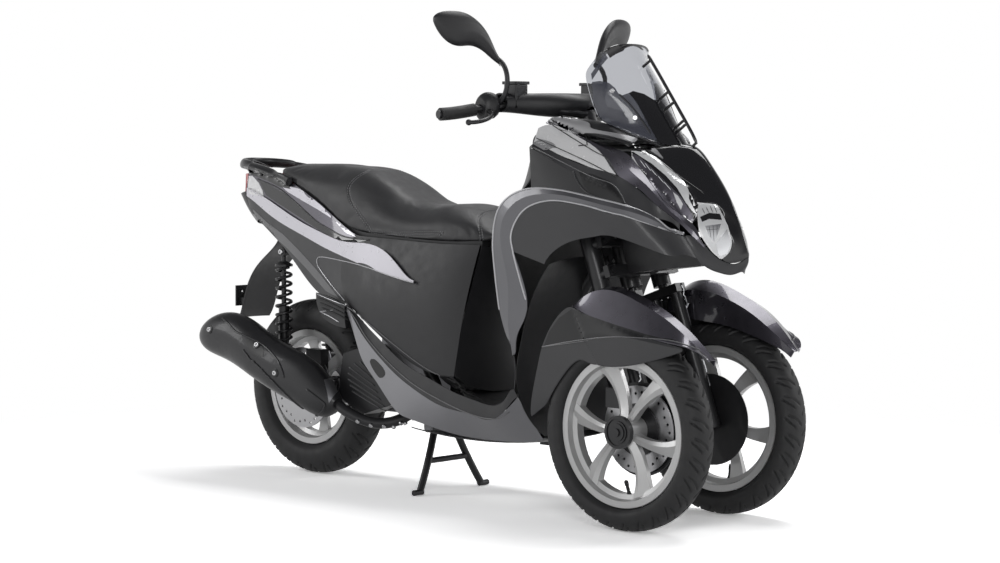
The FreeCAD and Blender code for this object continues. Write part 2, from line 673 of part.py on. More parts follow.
shield_rows = [
    [(-306, 152, 996), (-345, 100, 990), (-360, 0, 988)],
    [(-316, 200, 956), (-372, 110, 952), (-392, 0, 950)],
    [(-300, 226, 870), (-392, 120, 868), (-412, 0, 866)],
    [(-402, 231, 770), (-412, 120, 770), (-424, 0, 770)],
    [(-415, 231, 690), (-418, 120, 690), (-428, 0, 690)],
    [(-408, 231, 610), (-420, 120, 610), (-430, 0, 610)],
    [(-388, 232, 520), (-415, 120, 520), (-425, 0, 520)],
    [(-358, 232, 440), (-404, 120, 430), (-414, 0, 430)],
    [(-350, 232, 318), (-396, 120, 310), (-404, 0, 308)],
]
inner_rails = [[row[k] for row in shield_rows] for k in range(3)]
inner_left = inner_rails
inner_right = [[(x, -y, z) for x, y, z in rail] for rail in inner_rails[:2][::-1]]
leg_shield = skin(inner_left + inner_right, 9, core=(at(0, 0, 300), at(0, 0, 1000)))
leg_shield = trimmed(leg_shield, frame_shape)
node("leg_shield", leg_shield)

wall_rows = [
    [(-235, 226, 655), (-262, 120, 665), (-270, 0, 668)],
    [(-272, 228, 600), (-290, 120, 600), (-296, 0, 600)],
    [(-300, 230, 540), (-312, 120, 540), (-316, 0, 540)],
    [(-322, 232, 460), (-328, 120, 460), (-330, 0, 460)],
    [(-336, 232, 400), (-338, 120, 400), (-338, 0, 400)],
    [(-330, 225, 300), (-334, 120, 300), (-334, 0, 300)],
    [(-312, 150, 205), (-318, 100, 205), (-318, 0, 205)],
]
wall_rails = [[row[k] for row in wall_rows] for k in range(3)]
wall_right = [[(x, -y, z) for x, y, z in rail] for rail in wall_rails[:2][::-1]]
inner_fender = skin(wall_rails + wall_right, 7, core=(at(-800, 0, 300), at(-800, 0, 700)))
inner_fender = trimmed(inner_fender, frame_shape)
node("inner_fender", inner_fender)

fender_out = [(-151, 235, 556), (-59, 240, 524), (68, 240, 495), (150, 236, 483), (212, 222, 471),
              (243, 187, 437)]
fender_ridge = [(-149, 226, 558), (-48, 215, 599), (47, 211, 572), (140, 207, 528), (198, 198, 484),
                (247, 181, 441)]
fender_in = [(-147, 148, 562), (-50, 148, 582), (47, 148, 562), (137, 150, 520), (192, 156, 480),
             (246, 162, 440)]
fender_mid = [(-148, 190, 566), (-54, 188, 606), (47, 185, 582), (137, 183, 538), (196, 178, 494),
              (250, 171, 441)]
fender_core = (at(-60, wheel_y, 300), at(60, wheel_y, 300))
fender_top = skin([fender_out, fender_ridge, fender_mid, fender_in], 9, groups=[1, 1, 1], core=fender_core)
wall_low = [(-147, 146, 524), (-50, 145, 504), (47, 145, 494), (137, 147, 470), (192, 152, 451),
            (238, 158, 424)]
wall_core = (at(-150, wheel_y, 545), at(240, wheel_y, 440))
fender_wall = trimmed(skin([fender_in, wall_low], 9, core=wall_core), fender_top)
fender = Part.makeCompound([fender_top, fender_wall])
node("fender_left", fender)
node("fender_right", mirrored(fender))
fender_stay = block((-112, kingpin_y + 12, 546), (-72, 148.4, 564))
fork = fused([fork, trimmed(fender_stay, fender_wall)])
node("fork_left", fork)
node("fork_right", mirrored(fork))

flap_rows = [
    [(-239, 236, 299), (-287, 232, 266), (-287, 150, 266)],
    [(-219, 239, 325), (-281, 237, 321), (-281, 148, 321)],
    [(-198, 241, 353), (-262, 241, 387), (-262, 147, 387)],
    [(-150, 244, 405), (-240, 244, 452), (-240, 146, 452)],
    [(-110, 245, 424), (-205, 243, 512), (-205, 146, 512)],
    [(-60, 245, 416), (-151, 237, 553), (-153, 150, 556)],
]
flap_rails = [[row[k] for row in flap_rows] for k in range(3)]
flap = skin(flap_rails, 6, groups=[1, 1], core=fender_core)
side_rows = [
    [(-60, 245, 416), (-105, 246, 484), (-151, 237, 553)],
    [(1, 245, 415), (4, 248, 489), (-23, 241, 514)],
    [(91, 243, 431), (106, 245, 480), (104, 240, 488)],
    [(195, 229, 463), (195, 229, 467), (193, 228, 471)],
]
side_rails = [[row[k] for row in side_rows] for k in range(3)]
fender_side = skin(side_rails, 4, groups=[1, 1], core=fender_core)
node("fender_flap_left", Part.makeCompound([flap, fender_side]))
node("fender_flap_right", mirrored(Part.makeCompound([flap, fender_side])))

seat_stations = [
    (-1392, 884, 72, 868), (-1340, 888, 98, 849), (-1262, 886, 112, 823), (-1184, 884, 124, 791),
    (-1110, 879, 136, 752), (-1050, 872, 143, 724), (-985, 850, 148, 710), (-926, 822, 150, 706),
    (-860, 790, 150, 702), (-800, 780, 150, 699), (-737, 784, 149, 697), (-681, 781, 146, 696),
    (-620, 768, 141, 697), (-560, 745, 130, 700), (-522, 724, 112, 706),
]
pan_depth = 14.0


def seat_section(x, top, half, edge):
    """One cross section of the cushion, from the left edge over the crown to the right edge."""
    left = [at(x, half, edge), at(x, half - 6, edge + (top - edge) * 0.55), at(x, half * 0.55, top - 5),
            at(x, 0, top)]
    right = [Vector(p.x, -p.y, p.z) for p in left[:3][::-1]]
    base = Part.makeLine(right[-1], left[0])
    return Part.Wire([smooth(left + right), base])


cushion = Part.makeLoft([seat_section(*station) for station in seat_stations], True, False)
node("seat_cushion", cushion)

pan_sections = []
for x, top, half, edge in seat_stations[1:-1]:
    width = half - 8
    low = edge - seat_gap
    corners = [at(x, width, low), at(x, -width, low), at(x, -width, low - pan_depth),
               at(x, width, low - pan_depth)]
    pan_sections.append(Part.makePolygon(corners + [corners[0]]))
pan = trimmed(Part.makeLoft(pan_sections, True, False), cushion)
hinge = at(-532, 0, 690)
hinge_pin_r = 4.0
for low, high in ((-40, -20), (20, 40)):
    eye = rod(hinge + Vector(0, low, 0), hinge + Vector(0, high, 0), 7.5)
    pan = pan.fuse(eye).fuse(Part.makeBox(46, high - low, 8, hinge + Vector(-46, low, -2)))
pan = pan.cut(rod(hinge + Vector(0, -60, 0), hinge + Vector(0, 60, 0), hinge_pin_r + 0.4))
node("seat_pan", trimmed(pan.removeSplitter(), cushion))

tub_outer = block((-1120, -112, 505), (-640, 112, 680))
tub_inner = block((-1116, -108, 509), (-644, 108, 690))
tub_arm = block((-641, -14, 664), (-526, 14, 680))
tub_lug = Part.makeBox(12, 28, 24, hinge + Vector(-6, -14, -20))
tub_pin = rod(hinge + Vector(0, -44, 0), hinge + Vector(0, 44, 0), hinge_pin_r)
tub = fused([tub_outer.cut(tub_inner), tub_arm, tub_lug, tub_pin])
node("storage_tub", tub)

body_core = (at(-1400, 0, 700), at(-600, 0, 560))
rail_t = [(-1530, 72, 868), (-1450, 84, 860), (-1360, 97, 852), (-1250, 114, 814), (-1160, 130, 776),
          (-1080, 142, 735), (-1010, 149, 703)]
rail_s = [(-1528, 86, 803), (-1450, 97, 783), (-1360, 112, 751), (-1262, 128, 716), (-1167, 143, 690),
          (-1095, 153, 670), (-1040, 160, 655)]
rail_l = [(-1524, 78, 772), (-1472, 90, 730), (-1357, 110, 665), (-1252, 130, 593), (-1155, 145, 531),
          (-1090, 160, 520), (-1012, 182, 517)]
tail_upper = skin([rail_t, rail_s], 7, core=body_core)
tail_lower = skin([rail_s, rail_l], 7, core=body_core)

cover_top = [(-1010, 149, 703), (-950, 151, 698), (-837, 151, 694), (-740, 150, 690), (-640, 145, 689),
             (-556, 134, 690)]
cover_mid = [(-1040, 160, 655), (-960, 173, 640), (-860, 184, 610), (-760, 187, 580), (-650, 182, 560),
             (-572, 168, 550)]
cover_low = [(-1010, 184, 517), (-916, 203, 469), (-800, 206, 400), (-720, 206, 362), (-650, 204, 346),
             (-592, 196, 342)]
cover = skin([cover_top, cover_mid, cover_low], 6, core=body_core)

stripe_off = wall + seat_gap


def pushed(rail, amount):
    return [(x, y + amount, z) for x, y, z in rail]


rail_s1 = [(-1522, 84, 820), (-1447, 95, 800), (-1278, 125, 742), (-1135, 145, 701), (-1014, 160, 682),
           (-930, 168, 680), (-826, 181, 641), (-742, 190, 590)]
rail_s2 = [(-1520, 85, 795), (-1450, 96, 766), (-1388, 108, 739), (-1280, 126, 706), (-1167, 145, 673),
           (-1006, 167, 633), (-874, 182, 604), (-744, 190, 582)]
stripe = skin([pushed(rail_s1, 5), pushed(rail_s2, 5)], 9, core=body_core)
node("tail_stripes", both(stripe))
tail_upper = trimmed(tail_upper, stripe)
node("tail_upper_panels", both(tail_upper))
tail_lower = trimmed(tail_lower, stripe)
cover = trimmed(cover, stripe, tail_upper, tail_lower)

rim_top = [(-1010, 184, 516), (-966, 200, 500), (-916, 206, 466), (-848, 213, 424), (-754, 220, 370),
           (-651, 224, 334), (-560, 228, 306), (-480, 230, 290), (-412, 232, 284), (-372, 236, 306),
           (-340, 238, 330)]
rim_low = [(-990, 205, 498), (-963, 212, 489), (-923, 217, 445), (-832, 224, 373), (-746, 230, 323),
           (-661, 234, 287), (-579, 236, 264), (-499, 237, 255), (-432, 237, 245), (-380, 237, 268),
           (-330, 238, 312)]
floor_rim = skin([rim_top, rim_low], 11, core=(at(-1000, 0, 300), at(-400, 0, 300)))
skirt_low = [(-982, 204, 478), (-947, 212, 424), (-920, 215, 372), (-860, 218, 312), (-784, 222, 241),
             (-730, 223, 222), (-640, 214, 203), (-560, 196, 188), (-450, 176, 183), (-370, 160, 186),
             (-318, 150, 196)]
skirt = skin([rim_low, skirt_low], 11, core=(at(-1000, 0, 330), at(-400, 0, 260)))
skirt = trimmed(skirt, floor_rim, inner_fender)
node("side_skirts", both(skirt))

floor_rows = [
    [(-640, 202, 344), (-628, 120, 300), (-624, 0, 296)],
    [(-592, 196, 338), (-588, 120, 290), (-586, 0, 288)],
    [(-520, 226, 296), (-520, 120, 276), (-520, 0, 274)],
    [(-430, 228, 282), (-430, 120, 272), (-430, 0, 272)],
    [(-352, 228, 312), (-398, 120, 296), (-406, 0, 294)],
]
floor_rails = [[row[k] for row in floor_rows] for k in range(3)]
floor_right = [[(x, -y, z) for x, y, z in rail] for rail in floor_rails[:2][::-1]]
floorboard = skin(floor_rails + floor_right, 5, core=(at(-640, 0, -2000), at(-380, 0, -2000)), thickness=4)
floorboard = trimmed(floorboard, both(floor_rim), both(cover), leg_shield, inner_fender)
floor_rim = trimmed(floor_rim, leg_shield, cover, inner_fender)
node("floorboard", Part.makeCompound([floorboard, both(floor_rim)]))

front_rows = [
    [(-554, 130, 689), (-538, 70, 680), (-534, 0, 678)],
    [(-570, 164, 550), (-556, 80, 550), (-552, 0, 550)],
    [(-584, 186, 440), (-572, 90, 440), (-568, 0, 440)],
    [(-591, 194, 345), (-590, 90, 300), (-588, 0, 292)],
]
front_rails = [[row[k] for row in front_rows] for k in range(3)]
front_right = [[(x, -y, z) for x, y, z in rail] for rail in front_rails[:2][::-1]]
seat_front = skin(front_rails + front_right, 4, core=(at(-900, 0, 300), at(-900, 0, 700)))
tub_arm_room = Part.makeBox(90, 36, 34, hinge + Vector(-60, -18, -27))
seat_front = trimmed(seat_front, both(cover), floorboard, tub_arm_room)
node("side_covers", Part.makeCompound([both(cover), seat_front]))

belly_rows = [
    [(-318, 148, 199), (-318, 70, 190), (-318, 0, 188)],
    [(-450, 174, 180), (-450, 90, 170), (-450, 0, 168)],
    [(-640, 205, 186), (-640, 100, 170), (-640, 0, 168)],
    [(-740, 205, 196), (-740, 100, 176), (-740, 0, 176)],
]
belly_rails = [[row[k] for row in belly_rows] for k in range(3)]
belly_right = [[(x, -y, z) for x, y, z in rail] for rail in belly_rails[:2][::-1]]
belly = skin(belly_rails + belly_right, 4, core=(at(-640, 0, 2000), at(-380, 0, 2000)))
bracket_room = block((-578, 127, 120), (-542, 140, 230))
belly = trimmed(belly, both(skirt), bracket_room)
node("belly_pan", belly)

lamp_rows = [
    [(-1534, 70, 862), (-1586, 58, 858), (-1600, 0, 856)],
    [(-1532, 85, 809), (-1570, 66, 800), (-1582, 0, 796)],
]
lamp_rails = [[row[k] for row in lamp_rows] for k in range(3)]
lamp_right = [[(x, -y, z) for x, y, z in rail] for rail in lamp_rails[:2][::-1]]
node("tail_lamp", skin(lamp_rails + lamp_right, 2, core=(at(-1400, 0, 800), at(-1400, 0, 860)),
                       thickness=6))

tail_rows = [
    [(-1532, 85, 809), (-1570, 66, 800), (-1582, 0, 796)],
    [(-1526, 78, 774), (-1552, 62, 768), (-1560, 0, 764)],
    [(-1474, 90, 730), (-1500, 60, 716), (-1510, 0, 712)],
]
tail_rails = [[row[k] for row in tail_rows] for k in range(3)]
tail_right = [[(x, -y, z) for x, y, z in rail] for rail in tail_rails[:2][::-1]]
tail_end = skin(tail_rails + tail_right, 3, core=(at(-1300, 0, 760), at(-1300, 0, 860)))
tail_end = trimmed(tail_end, both(tail_lower), both(stripe))
node("tail_lower_panels", Part.makeCompound([both(tail_lower), tail_end]))

rail_path = [at(-1310, 118, 842), at(-1400, 106, 866), at(-1500, 88, 884), at(-1572, 56, 890),
             at(-1598, 0, 892)]
rail_path += [Vector(p.x, -p.y, p.z) for p in rail_path[:4][::-1]]
grab = Part.Wire(smooth(rail_path))
way = grab.Edges[0].tangentAt(grab.Edges[0].FirstParameter)
grab_section = Part.Ellipse(rail_path[0], 15, 9)
ellipse = grab_section.toShape()
ellipse.rotate(rail_path[0], Vector(0, 1, 0), 90)
node("grab_rail", grab.makePipeShell([Part.Wire(ellipse)], True, True))

stand_pivot = at(-812, 0, 176)
stand_pin_r = 8.0
engine = block((-960, -95, 215), (-700, 77.6, 420))
for low, high in ((-68, -58), (58, 68)):
    lug = Part.makeBox(24, high - low, 44, stand_pivot + Vector(-12, low, 0))
    engine = engine.fuse(lug).fuse(rod(stand_pivot + Vector(0, low, 0), stand_pivot + Vector(0, high, 0),
                                       12))
engine = engine.fuse(rod(stand_pivot + Vector(0, -66, 0), stand_pivot + Vector(0, 66, 0), stand_pin_r))
engine = engine.fuse(rod(at(-950, -20, 330), at(-1010, -20, 350), 58))
for low, high in ((-46, -26), (26, 46)):
    engine = engine.fuse(Part.makeBox(36, high - low, 46, hanger + Vector(-18, low, -30)))
engine = engine.cut(rod(hanger - Vector(0, 60, 0), hanger + Vector(0, 60, 0), hanger_r + 0.3))
node("engine_block", engine.removeSplitter())

case_outline = [(-690, 230), (-700, 330), (-820, 360), (-1100, 345), (-1330, 330), (-1385, 290),
                (-1385, 215),
                (-1330, 180), (-1100, 195), (-800, 190)]
drive_case = plate_xz(case_outline, 78, 138)
case_lug = plate_xz([(shock_x - 10, 280), (shock_x - 10, 344), (shock_x + 10, 344), (shock_x + 30, 280)],
                    76, 80.5)
case_pin = rod(at(shock_x, 78, shock_low), at(shock_x, 104, shock_low), shock_pin_r)
node("drive_case", fused([drive_case, case_lug, case_pin]))

fan_outline = [(-1040, 372), (-950, 400), (-846, 246), (-970, 208), (-1060, 256)]
fan = plate_xz(fan_outline, -168, -96)
node("radiator_cover", fan)

arm_outline = [(-975, 230), (-975, 300), (-1100, 300), (-1290, 285), (-1345, 275), (-1345, 225),
               (-1290, 218), (-1100, 225)]
swing = plate_xz(arm_outline, -96, -76)
shock_lug = [(shock_x - 10, 230), (shock_x - 10, 344), (shock_x + 10, 344), (-1300, 284), (-1300, 230)]
swing_lug = plate_xz(shock_lug, -80, -76)
swing_pin = rod(at(shock_x, -78, shock_low), at(shock_x, -104, shock_low), shock_pin_r)
rear_axle = rod(rear(0, -112, radius_rear), rear(0, 77.4, radius_rear), axle_r)

caliper_rear = Part.makeBox(60, 30, 76, rear(34, -84, radius_rear + 39))
caliper_slot = rod(rear(0, -64.3 - disc_t / 2 - 2.5, radius_rear),
                   rear(0, -64.3 + disc_t / 2 + 2.5, radius_rear), 118)
node("swing_arm", fused([swing, rear_axle, caliper_rear.cut(caliper_slot), swing_lug, swing_pin]))

shock_spring_r = 26.0
eye_r = 14.0


def shock():
    """The left damper with its spring, standing between its two pins."""
    low = at(shock_x, shock_y, shock_low)
    top = at(shock_x, shock_y, shock_top)
    body = rod(low + Vector(0, 0, 20), low + Vector(0, 0, 160), 15).fuse(rod(low, top, 7))
    profile = [(9, 24)]
    for coil in range(8):
        base = 28 + coil * 29
        profile += [(shock_spring_r - 7, base), (shock_spring_r, base + 5), (shock_spring_r, base + 11)]
        profile += [(shock_spring_r - 7, base + 16)]
    profile.append((9, 260))
    points = [Vector(r, 0, z) for r, z in profile]
    spring = Part.Face(Part.makePolygon(points + [points[0]])).revolve(Vector(), Vector(0, 0, 1), 360)
    spring.translate(low)
    parts = [body, spring]
    for centre in (low, top):
        parts.append(rod(centre - Vector(0, 10.5, 0), centre + Vector(0, 10.5, 0), eye_r))
    whole = fused(parts)
    for centre in (low, top):
        whole = whole.cut(rod(centre - Vector(0, 20, 0), centre + Vector(0, 20, 0), shock_pin_r + 0.3))
    return whole


node("rear_shocks", both(shock()))

muffler_stations = [(-1555, 406, 16, 20), (-1532, 404, 86, 84), (-1455, 402, 132, 106),
                    (-1371, 378, 138, 110),
                    (-1287, 341, 134, 110), (-1180, 305, 136, 106), (-1104, 275, 128, 96),
                    (-1044, 246, 92, 76),
                    (-1008, 240, 30, 36)]
muffler_y = -218


def oval(x, z, high, wide):
    centre = at(x, muffler_y, z)
    ring = []
    for index in range(12):
        angle = 2 * math.pi * index / 12
        ring.append(centre + Vector(math.sin(angle) * high * 0.12, math.cos(angle) * wide / 2,
                                    math.sin(angle) * high / 2))
    curve = Part.BSplineCurve()
    curve.interpolate(ring, PeriodicFlag=True)
    return Part.Wire(curve.toShape())


can = Part.makeLoft([oval(*station) for station in muffler_stations], True, False)
hollow = Part.makeLoft([oval(x, z, high - 7, wide - 7) for x, z, high, wide in muffler_stations[1:-1]],
                       True, False)
can = can.cut(hollow)
pipe = tube([at(-1020, -212, 240), at(-950, -196, 204), at(-880, -160, 192), at(-835, -120, 214),
             at(-830, -70, 250)], 15)
node("muffler", fused([can, trimmed(pipe, engine, fan)]))

guard_rows = [
    [(-1404, 64, 724), (-1404, 0, 724)],
    [(-1436, 62, 650), (-1436, 0, 652)],
    [(-1500, 62, 600), (-1500, 0, 605)],
    [(-1550, 64, 530), (-1552, 0, 532)],
    [(-1590, 60, 435), (-1594, 0, 436)],
]
guard_rails = [[row[k] for row in guard_rows] for k in range(2)]
guard_right = [[(x, -y, z) for x, y, z in guard_rails[0]]]
guard = skin(guard_rails + guard_right, 5, core=(at(-1200, 0, 300), at(-1200, 0, 700)), thickness=4)
plate_x = -1604.0
plate_z = 500.0
plate_bolt_pitch = 70.0
plate_bolt_r = 3.3
bracket = block((plate_x, -60, plate_z - 30), (plate_x + 4, 60, plate_z + 30))
for side in (-1, 1):
    bolt = at(plate_x - 5, side * plate_bolt_pitch / 2, plate_z + 12)
    bracket = bracket.cut(rod(bolt, bolt + Vector(20, 0, 0), plate_bolt_r))
    bracket = bracket.fuse(block((plate_x + 2, side * 40 - 8, plate_z - 24),
                                 (-1568, side * 40 + 8, plate_z - 6)))
guard = fused([trimmed(guard, frame_shape), bracket])
node("rear_mudguard", guard)

step_rows = [
    [(-1118, 196, 540), (-1114, 196, 506), (-1092, 196, 472)],
    [(-1053, 204, 530), (-1050, 204, 490), (-1040, 204, 455)],
    [(-992, 208, 508), (-990, 210, 480), (-985, 210, 448)],
]
step_rails = [[row[k] for row in step_rows] for k in range(3)]
foot_step = skin(step_rails, 3, core=(at(-1100, 0, 490), at(-980, 0, 490)), thickness=16)
foot_step = trimmed(foot_step, floor_rim, skirt, cover)
node("passenger_steps", both(foot_step))

leg = tube([stand_pivot + Vector(0, 38, 0), stand_pivot + Vector(12, 74, -80),
            stand_pivot + Vector(25, 122, -166)], 10)
foot = rod(stand_pivot + Vector(26, 114, -168), stand_pivot + Vector(26, 148, -168), 8)
cross = rod(stand_pivot + Vector(0, -57.4, 0), stand_pivot + Vector(0, 57.4, 0), 13)
cross = cross.fuse(rod(stand_pivot + Vector(13, -76, -88), stand_pivot + Vector(13, 76, -88), 8))
stand = fused([cross, leg, mirrored(leg), foot, mirrored(foot)])
stand = stand.cut(rod(stand_pivot + Vector(0, -100, 0), stand_pivot + Vector(0, 100, 0), stand_pin_r + 0.5))
node("centre_stand", stand)

side_leg = tube([side_pivot, side_pivot + Vector(-60, 6, -4), side_pivot + Vector(-165, 12, -2)], 9)
side_leg = side_leg.fuse(rod(side_pivot + Vector(0, -12, 0), side_pivot + Vector(0, 12, 0), 14))
side_leg = side_leg.fuse(rod(side_pivot + Vector(-165, 0, -2), side_pivot + Vector(-165, 26, -2), 10))
side_leg = side_leg.cut(rod(side_pivot + Vector(0, -20, 0), side_pivot + Vector(0, 20, 0), 6.5))
node("side_stand", side_leg)

bar_cover_stations = [(196, -433, 1063, 28, 25), (140, -396, 1060, 30, 27), (80, -352, 1057, 35, 31),
                      (0, -326, 1056, 42, 32)]

housing_stations = [(206, -443, 1055, 21, 29), (220, -450, 1054, 27, 36), (236, -456, 1050, 25, 34),
                    (243, -458, 1049, 19, 24)]


def cover_ring(y, x, z, long_half, high_half):
    ring = []
    for index in range(12):
        angle = 2 * math.pi * index / 12
        ring.append(at(x + math.cos(angle) * long_half, y, z + math.sin(angle) * high_half))
    curve = Part.BSplineCurve()
    curve.interpolate(ring, PeriodicFlag=True)
    return Part.Wire(curve.toShape())


cover_all = bar_cover_stations + [(-y, x, z, a, b) for y, x, z, a, b in bar_cover_stations[:3][::-1]]
outer = Part.makeLoft([cover_ring(*s) for s in cover_all], True, False)
inner = Part.makeLoft([cover_ring(y * 1.02, x, z, a - 4, b - 4) for y, x, z, a, b in cover_all], True,
                      False)
bar_cover = outer.cut(inner).cut(rod(steer(700, 0, 0), steer(845, 0, 0), 30)).cut(tube(bar_path,
                                                                                       bar_r + 0.5))

housing = Part.makeLoft([cover_ring(*s) for s in housing_stations], True, False)
housing = trimmed(housing.cut(tube(bar_path, bar_r + 0.3)), outer)
reservoir = block((-438, 130, 1064), (-394, 176, 1112))
reservoir = reservoir.makeFillet(4, reservoir.Edges)
lid = block((-441, 127, 1110), (-391, 179, 1118))
bar_cover = bar_cover.cut(block((-439, 129, 1050), (-393, 177, 1125)))
bar_cover = bar_cover.cut(block((-439, -177, 1050), (-393, -129, 1125)))
reservoir = fused([reservoir, lid.makeFillet(1.5, lid.Edges), rod(at(-414, 153, 1054), at(-416, 153, 1070),
                                                                  12)])
reservoir = reservoir.cut(tube(bar_path, bar_r + 0.3))
lever = tube([at(-424, 236, 1034), at(-404, 262, 1026), at(-398, 300, 1016), at(-415, 332, 1012)], 5.5)
lever = lever.fuse(Part.makeSphere(8, at(-415, 332, 1012))).fuse(rod(at(-444, 229, 1044),
                                                                     at(-416, 240, 1030), 9))
node("levers", both(trimmed(lever, housing, tube(bar_path, bar_r + 0.4))))
node("brake_reservoirs", both(reservoir))

# A mirror head grows out of its neck. Each station is (along, centre height, half height, half depth).
neck = at(-437, 192, 1168)
head_along = Vector(-0.226, 0.974, 0)
head_depth = Vector(0.974, 0.226, 0)
head_stations = [(0, 1, 9, 7), (22, 23, 18, 10), (46, 51, 29, 13), (69, 68, 34, 15), (99, 79, 40, 17),
                 (134, 82, 44, 18), (169, 89, 36, 15), (190, 97, 23, 10), (203, 103, 8, 4)]


def head_ring(along, rise, half_height, half_depth):
    centre = neck + head_along * along + Vector(0, 0, rise)
    ring = []
    for index in range(12):
        angle = 2 * math.pi * index / 12
        ring.append(centre + head_depth * math.cos(angle) * half_depth + Vector(0, 0,
                                                                                math.sin(angle) * half_height))
    curve = Part.BSplineCurve()
    curve.interpolate(ring, PeriodicFlag=True)
    return Part.Wire(curve.toShape())


mirror_head = Part.makeLoft([head_ring(*s) for s in head_stations], True, False)
stalk = tube([at(-443, 198, 1058), at(-408, 198, 1098), at(-410, 196, 1140), at(-439, 193, 1172)], 6.5)
clamp = rod(at(-442, 197.5, 1052.6), at(-445.5, 204.5, 1052), 16)
mirrors = fused([stalk, mirror_head, clamp]).cut(tube(bar_path, bar_r + 0.3))
mirrors = trimmed(mirrors, housing)
stalk_room = tube([at(-443, 198, 1058), at(-408, 198, 1098), at(-410, 196, 1140)], 8)
bar_cover = trimmed(bar_cover.cut(stalk_room).cut(mirrored(stalk_room)), both(clamp))
node("mirrors", both(mirrors))
node("bar_cover", Part.makeCompound([bar_cover, both(housing)]))

for item in nodes:
    if "Invalid" in item.State or "Error" in item.State or item.Shape.isNull() or not item.Shape.isValid():
        raise RuntimeError(f"{item.Label} did not build")
    item.Shape.exportStep(f"parts/{item.Label}.step")
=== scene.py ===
import json
import math

import bmesh
import bpy
from mathutils import Matrix, Vector
from mathutils.bvhtree import BVHTree
from mathutils.geometry import delaunay_2d_cdt
from mathutils.kdtree import KDTree


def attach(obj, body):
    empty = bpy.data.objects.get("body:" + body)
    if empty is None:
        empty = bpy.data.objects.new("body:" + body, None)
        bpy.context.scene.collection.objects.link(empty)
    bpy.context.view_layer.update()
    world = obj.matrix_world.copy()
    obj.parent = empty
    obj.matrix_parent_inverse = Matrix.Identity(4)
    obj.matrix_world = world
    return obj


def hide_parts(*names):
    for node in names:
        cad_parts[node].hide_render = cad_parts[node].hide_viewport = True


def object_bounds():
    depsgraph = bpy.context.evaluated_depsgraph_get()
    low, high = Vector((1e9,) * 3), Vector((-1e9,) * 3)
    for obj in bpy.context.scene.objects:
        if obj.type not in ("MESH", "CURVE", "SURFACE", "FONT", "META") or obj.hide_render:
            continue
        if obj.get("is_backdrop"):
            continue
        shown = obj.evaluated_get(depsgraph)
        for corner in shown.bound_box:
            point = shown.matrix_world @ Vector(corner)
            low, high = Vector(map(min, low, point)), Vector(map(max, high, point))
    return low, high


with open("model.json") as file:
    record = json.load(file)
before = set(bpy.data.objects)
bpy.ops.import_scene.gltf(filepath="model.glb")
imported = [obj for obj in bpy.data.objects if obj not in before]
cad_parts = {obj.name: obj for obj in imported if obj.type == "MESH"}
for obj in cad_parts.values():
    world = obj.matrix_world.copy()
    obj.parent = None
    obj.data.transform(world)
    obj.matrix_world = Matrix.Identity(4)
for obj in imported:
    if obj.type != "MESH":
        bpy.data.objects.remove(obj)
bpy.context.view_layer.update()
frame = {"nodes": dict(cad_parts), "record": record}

nodes = frame["nodes"]
frontAxle = Vector((0.679, 0.0, 0.25))
rearAxle = Vector((-0.631, 0.0, 0.251))
wheelY = 0.1925


def fromAxle(x, y, z):
    # millimetres forward from the front axle, to the left, and up from the ground
    return Vector((frontAxle.x + x * 0.001, y * 0.001, z * 0.001))


def addObject(name, data):
    item = bpy.data.objects.new(name, data)
    bpy.context.collection.objects.link(item)
    return item


# Shader nodes


def setInputs(tree, node, inputs):
    # each input gets a value or the output of another node
    for key, value in inputs.items():
        if isinstance(value, bpy.types.NodeSocket):
            tree.links.new(value, node.inputs[key])
        else:
            node.inputs[key].default_value = value


def addNode(tree, kind, inputs=(), **settings):
    node = tree.nodes.new("ShaderNode" + kind)
    for key, value in settings.items():
        setattr(node, key, value)
    setInputs(tree, node, dict(inputs))
    return node


def newMaterial(name):
    # a material with its shader and the place on the object that its patterns read
    material = bpy.data.materials.new(name)
    material.use_nodes = True
    tree = material.node_tree
    return material, tree, tree.nodes["Principled BSDF"], addNode(tree, "TexCoord").outputs["Object"]


# Camera, light and floor

cameraSet = {
    "place": (4.5637, -4.9566, 1.0143),
    "yaw": 132.1834,
    "pitch": -3.6753,
    "roll": 0.2302,
    "lens": 89.64,
    "sensor": 36.0,
    "wide": 1000.0,  # the picture's size
    "high": 563.0,
}


def cameraAxes(s):
    yaw, pitch, roll = (math.radians(s[k]) for k in ("yaw", "pitch", "roll"))
    look = Vector((math.cos(yaw) * math.cos(pitch), math.sin(yaw) * math.cos(pitch), math.sin(pitch)))
    side = look.cross(Vector((0, 0, 1))).normalized()
    up = side.cross(look)
    return side * math.cos(roll) + up * math.sin(roll), up * math.cos(roll) - side * math.sin(roll), look


def addCamera(s):
    side, up, look = cameraAxes(s)
    turn = Matrix((side, up, -look)).transposed()
    data = bpy.data.cameras.new("camera")
    data.lens = s["lens"]
    data.sensor_width = s["sensor"]
    camera = addObject("camera", data)
    camera.matrix_world = Matrix.Translation(s["place"]) @ turn.to_4x4()
    bpy.context.scene.camera = camera


addCamera(cameraSet)

lightSet = {
    "world": 0.60,  # strength of the even studio light
    "zenith": 0.16,  # how bright the ceiling is beside the horizon
    "cool": 1.04,  # how much more blue the ceiling has
    "fade": (0.10, 0.62),  # where the white of the horizon starts and ends turning into the ceiling
    "boxes": [  # place, aim, width, height, watts
        ((0.2, 1.2, 3.6), (0.1, 0.0, 0.6), 3.4, 1.2, 62),
        ((3.4, -3.6, 2.6), (0.3, 0.0, 0.5), 1.4, 1.4, 34),
        ((-3.2, -2.8, 2.4), (-0.3, 0.0, 0.5), 1.2, 2.0, 34),
        ((2.8, 3.2, 2.2), (0.5, 0.0, 0.4), 1.4, 1.4, 30),
    ],
}
plainWhite = (1, 1, 1, 1)


